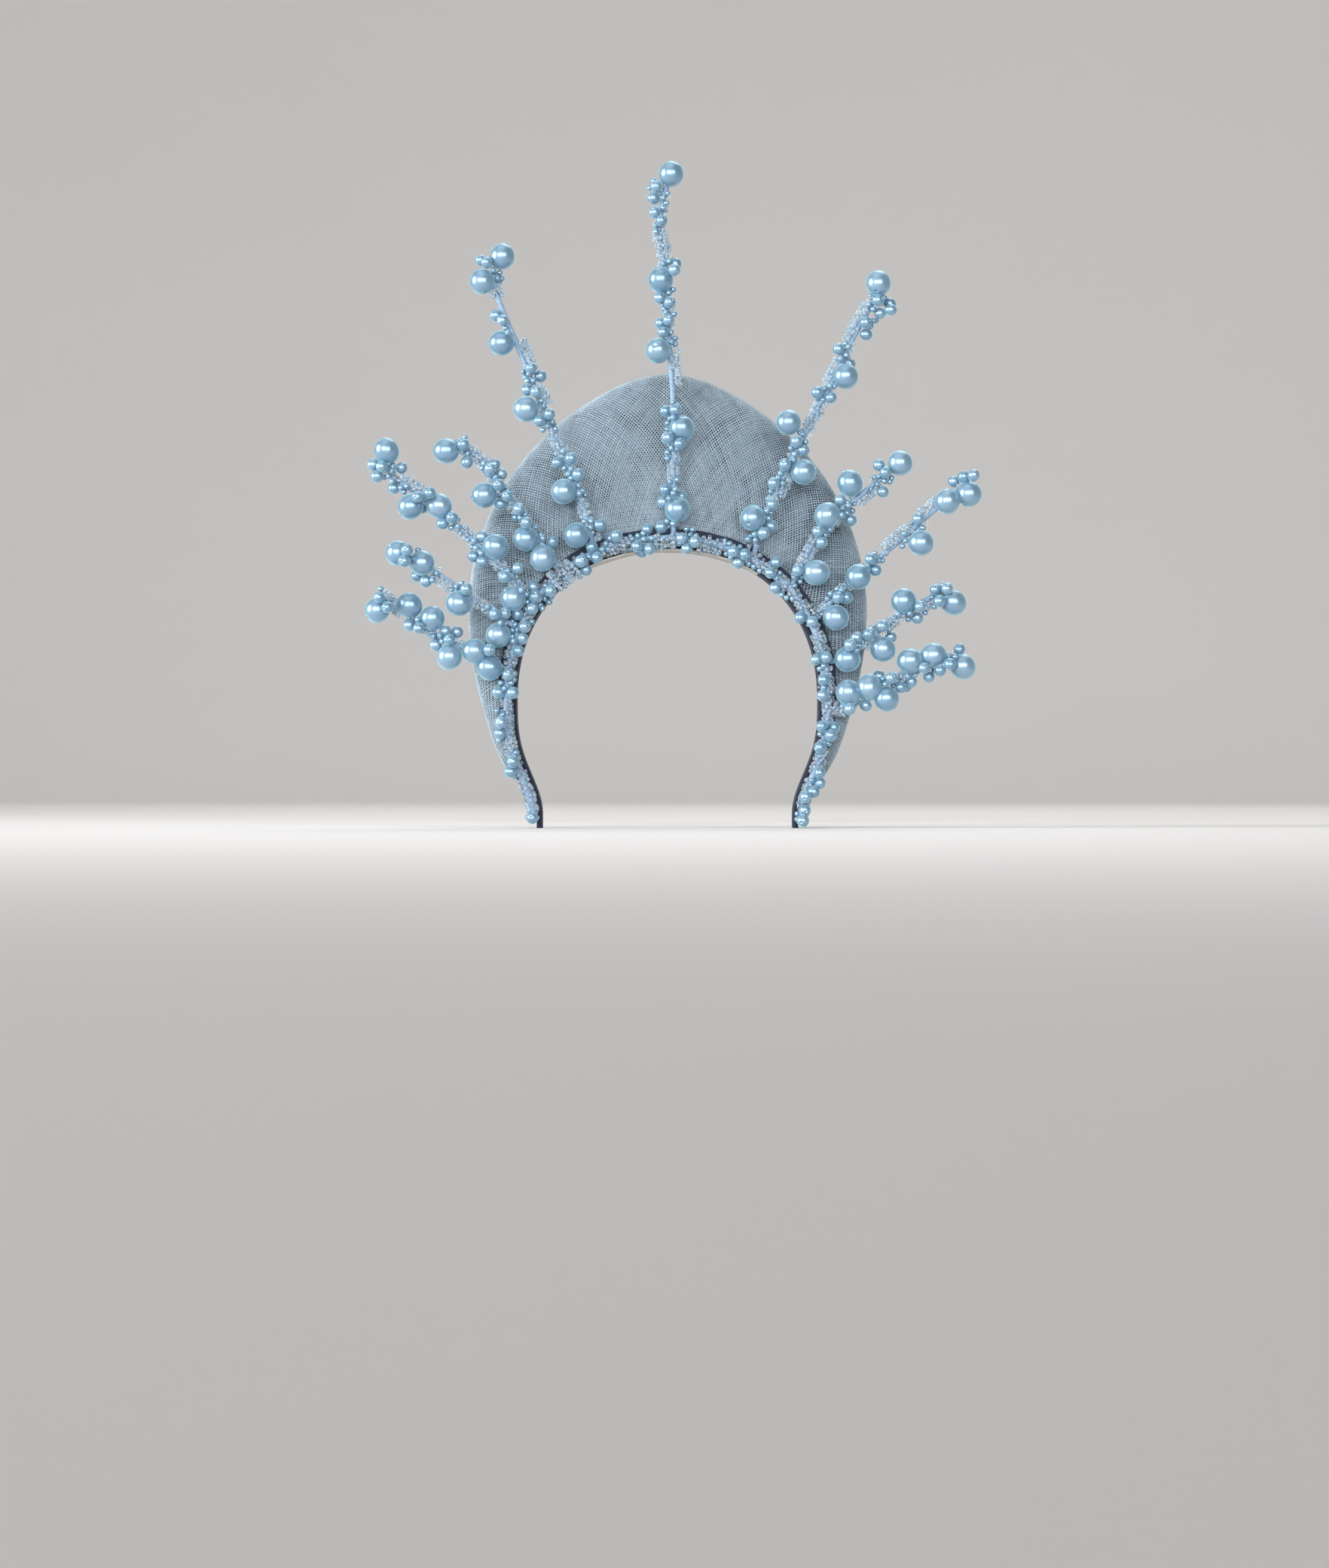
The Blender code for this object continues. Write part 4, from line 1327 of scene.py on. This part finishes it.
# Lights: places and sizes in metres, power in watts and spread in degrees
SoftLight = namedtuple("SoftLight", "name place size power spread aim")
LIGHTS = [SoftLight(*row) for row in (
    ("left_window", (-2.5, -0.67, 0.7), (0.95, 1.3), 10.5, 60, (0.0, 0.0, 0.2)),
    ("front_left_window", (-1.14, -2.35, 0.72), (0.48, 1.15), 2.9, 50, (0.0, 0.0, 0.2)),
    ("front_middle_window", (-0.1, -2.6, 0.72), (0.44, 1.15), 2.5, 50, (0.0, 0.0, 0.2)),
    ("front_right_window", (0.98, -2.4, 0.72), (0.44, 1.15), 2.1, 50, (0.0, 0.0, 0.2)),
    ("top_light", (-0.3, -0.6, 2.9), (2.6, 2.6), 22, 180, (0.0, 0.0, 0.15)),
    ("back_light", (0.6, 1.7, 2.6), (1.8, 1.4), 6, 90, (0.0, 0.0, 0.15)),
    ("wall_light", (0.0, 1.6, 2.3), (3.2, 0.6), 31, 180, (0.0, 4.0, 0.0)),
)]


def ground():
    """A floor that sweeps up all round into a plain pale wall."""
    profile = [(GROUND_RADIUS - GROUND_CURVE, 0.0)]
    for step in range(1, GROUND_CURVE_STEPS + 1):
        angle = math.pi / 2 * step / GROUND_CURVE_STEPS
        profile.append((
            GROUND_RADIUS - GROUND_CURVE + GROUND_CURVE * math.sin(angle),
            GROUND_CURVE * (1 - math.cos(angle)),
        ))
    profile.append((GROUND_RADIUS, WALL_TOP))
    vertices = [(0.0, 0.0, 0.0)]
    for reach, height in profile:
        vertices += circle(GROUND_SEGMENTS, reach, height)
    faces = grid_faces(len(profile), GROUND_SEGMENTS, first=1, round_rows=True)
    for segment in range(GROUND_SEGMENTS):
        faces.append((0, 1 + segment, 1 + (segment + 1) % GROUND_SEGMENTS))
    floor = mesh_object("studio_ground", np.array(vertices) / MM, faces, [studio_ground()])


def studio():
    """Camera, soft lights and a pale world."""
    camera = bpy.data.objects.new("camera", bpy.data.cameras.new("camera"))
    camera.data.lens = LENS
    camera.data.sensor_width = SENSOR
    camera.location = Vector(CAMERA_PLACE) * MM
    camera.rotation_euler = (math.pi / 2, 0.0, 0.0)
    bpy.context.scene.collection.objects.link(camera)
    bpy.context.scene.camera = camera
    for light in LIGHTS:
        data = bpy.data.lights.new(light.name, "AREA")
        data.shape = "RECTANGLE"
        data.size, data.size_y = light.size
        data.energy = light.power
        data.spread = math.radians(light.spread)
        lamp = bpy.data.objects.new(light.name, data)
        lamp.location = light.place
        lamp.rotation_euler = (Vector(light.aim) - lamp.location).to_track_quat("-Z", "Y").to_euler()
        bpy.context.scene.collection.objects.link(lamp)
    world = bpy.data.worlds.new("studio_air")
    bpy.context.scene.world = world
    world.use_nodes = True
    sky = world.node_tree.nodes["Background"]
    sky.inputs["Color"].default_value = SKY_TONE
    sky.inputs["Strength"].default_value = SKY_STRENGTH
    bpy.context.scene.view_settings.view_transform = "Standard"


# Everything in place

angles, crown_points = crown_grid()
crown_normals = unit(np.cross(np.gradient(crown_points, axis=0), np.gradient(crown_points, axis=1)))
warp, weft = weave_fields(angles, crown_points)
thread = sinamay_thread()
crown_base(angles, crown_points, crown_normals, sinamay_layer())
thread_layer("crown_warp_threads", crown_points, crown_normals, warp, weft, thread, WARP_SEED)
thread_layer("crown_weft_threads", crown_points, crown_normals, weft, warp, thread, WEFT_SEED)

ribbon(HEAD_BAND, woven_ribbon(NAVY), "navy_ribbon", "head_band")
ribbon(INNER_STRIP, woven_ribbon(IVORY), "ivory_strip", "inner_strip")
front_binding(woven_ribbon(NAVY_FOLD))

bead_finishes = [tape(), pearl(), clear_glass(), beading_wire()]
beaded(WIRE_BEADS, wire_stem(), BASE_WIRE_RADIUS, BASE_WIRE_SEED, bead_finishes)
for number, spine in enumerate(SPINES, FIRST_SPINE_SEED):
    beaded(spine, Stem(stem_line(spine)), WIRE_RADIUS, number, bead_finishes)

ground()
studio()
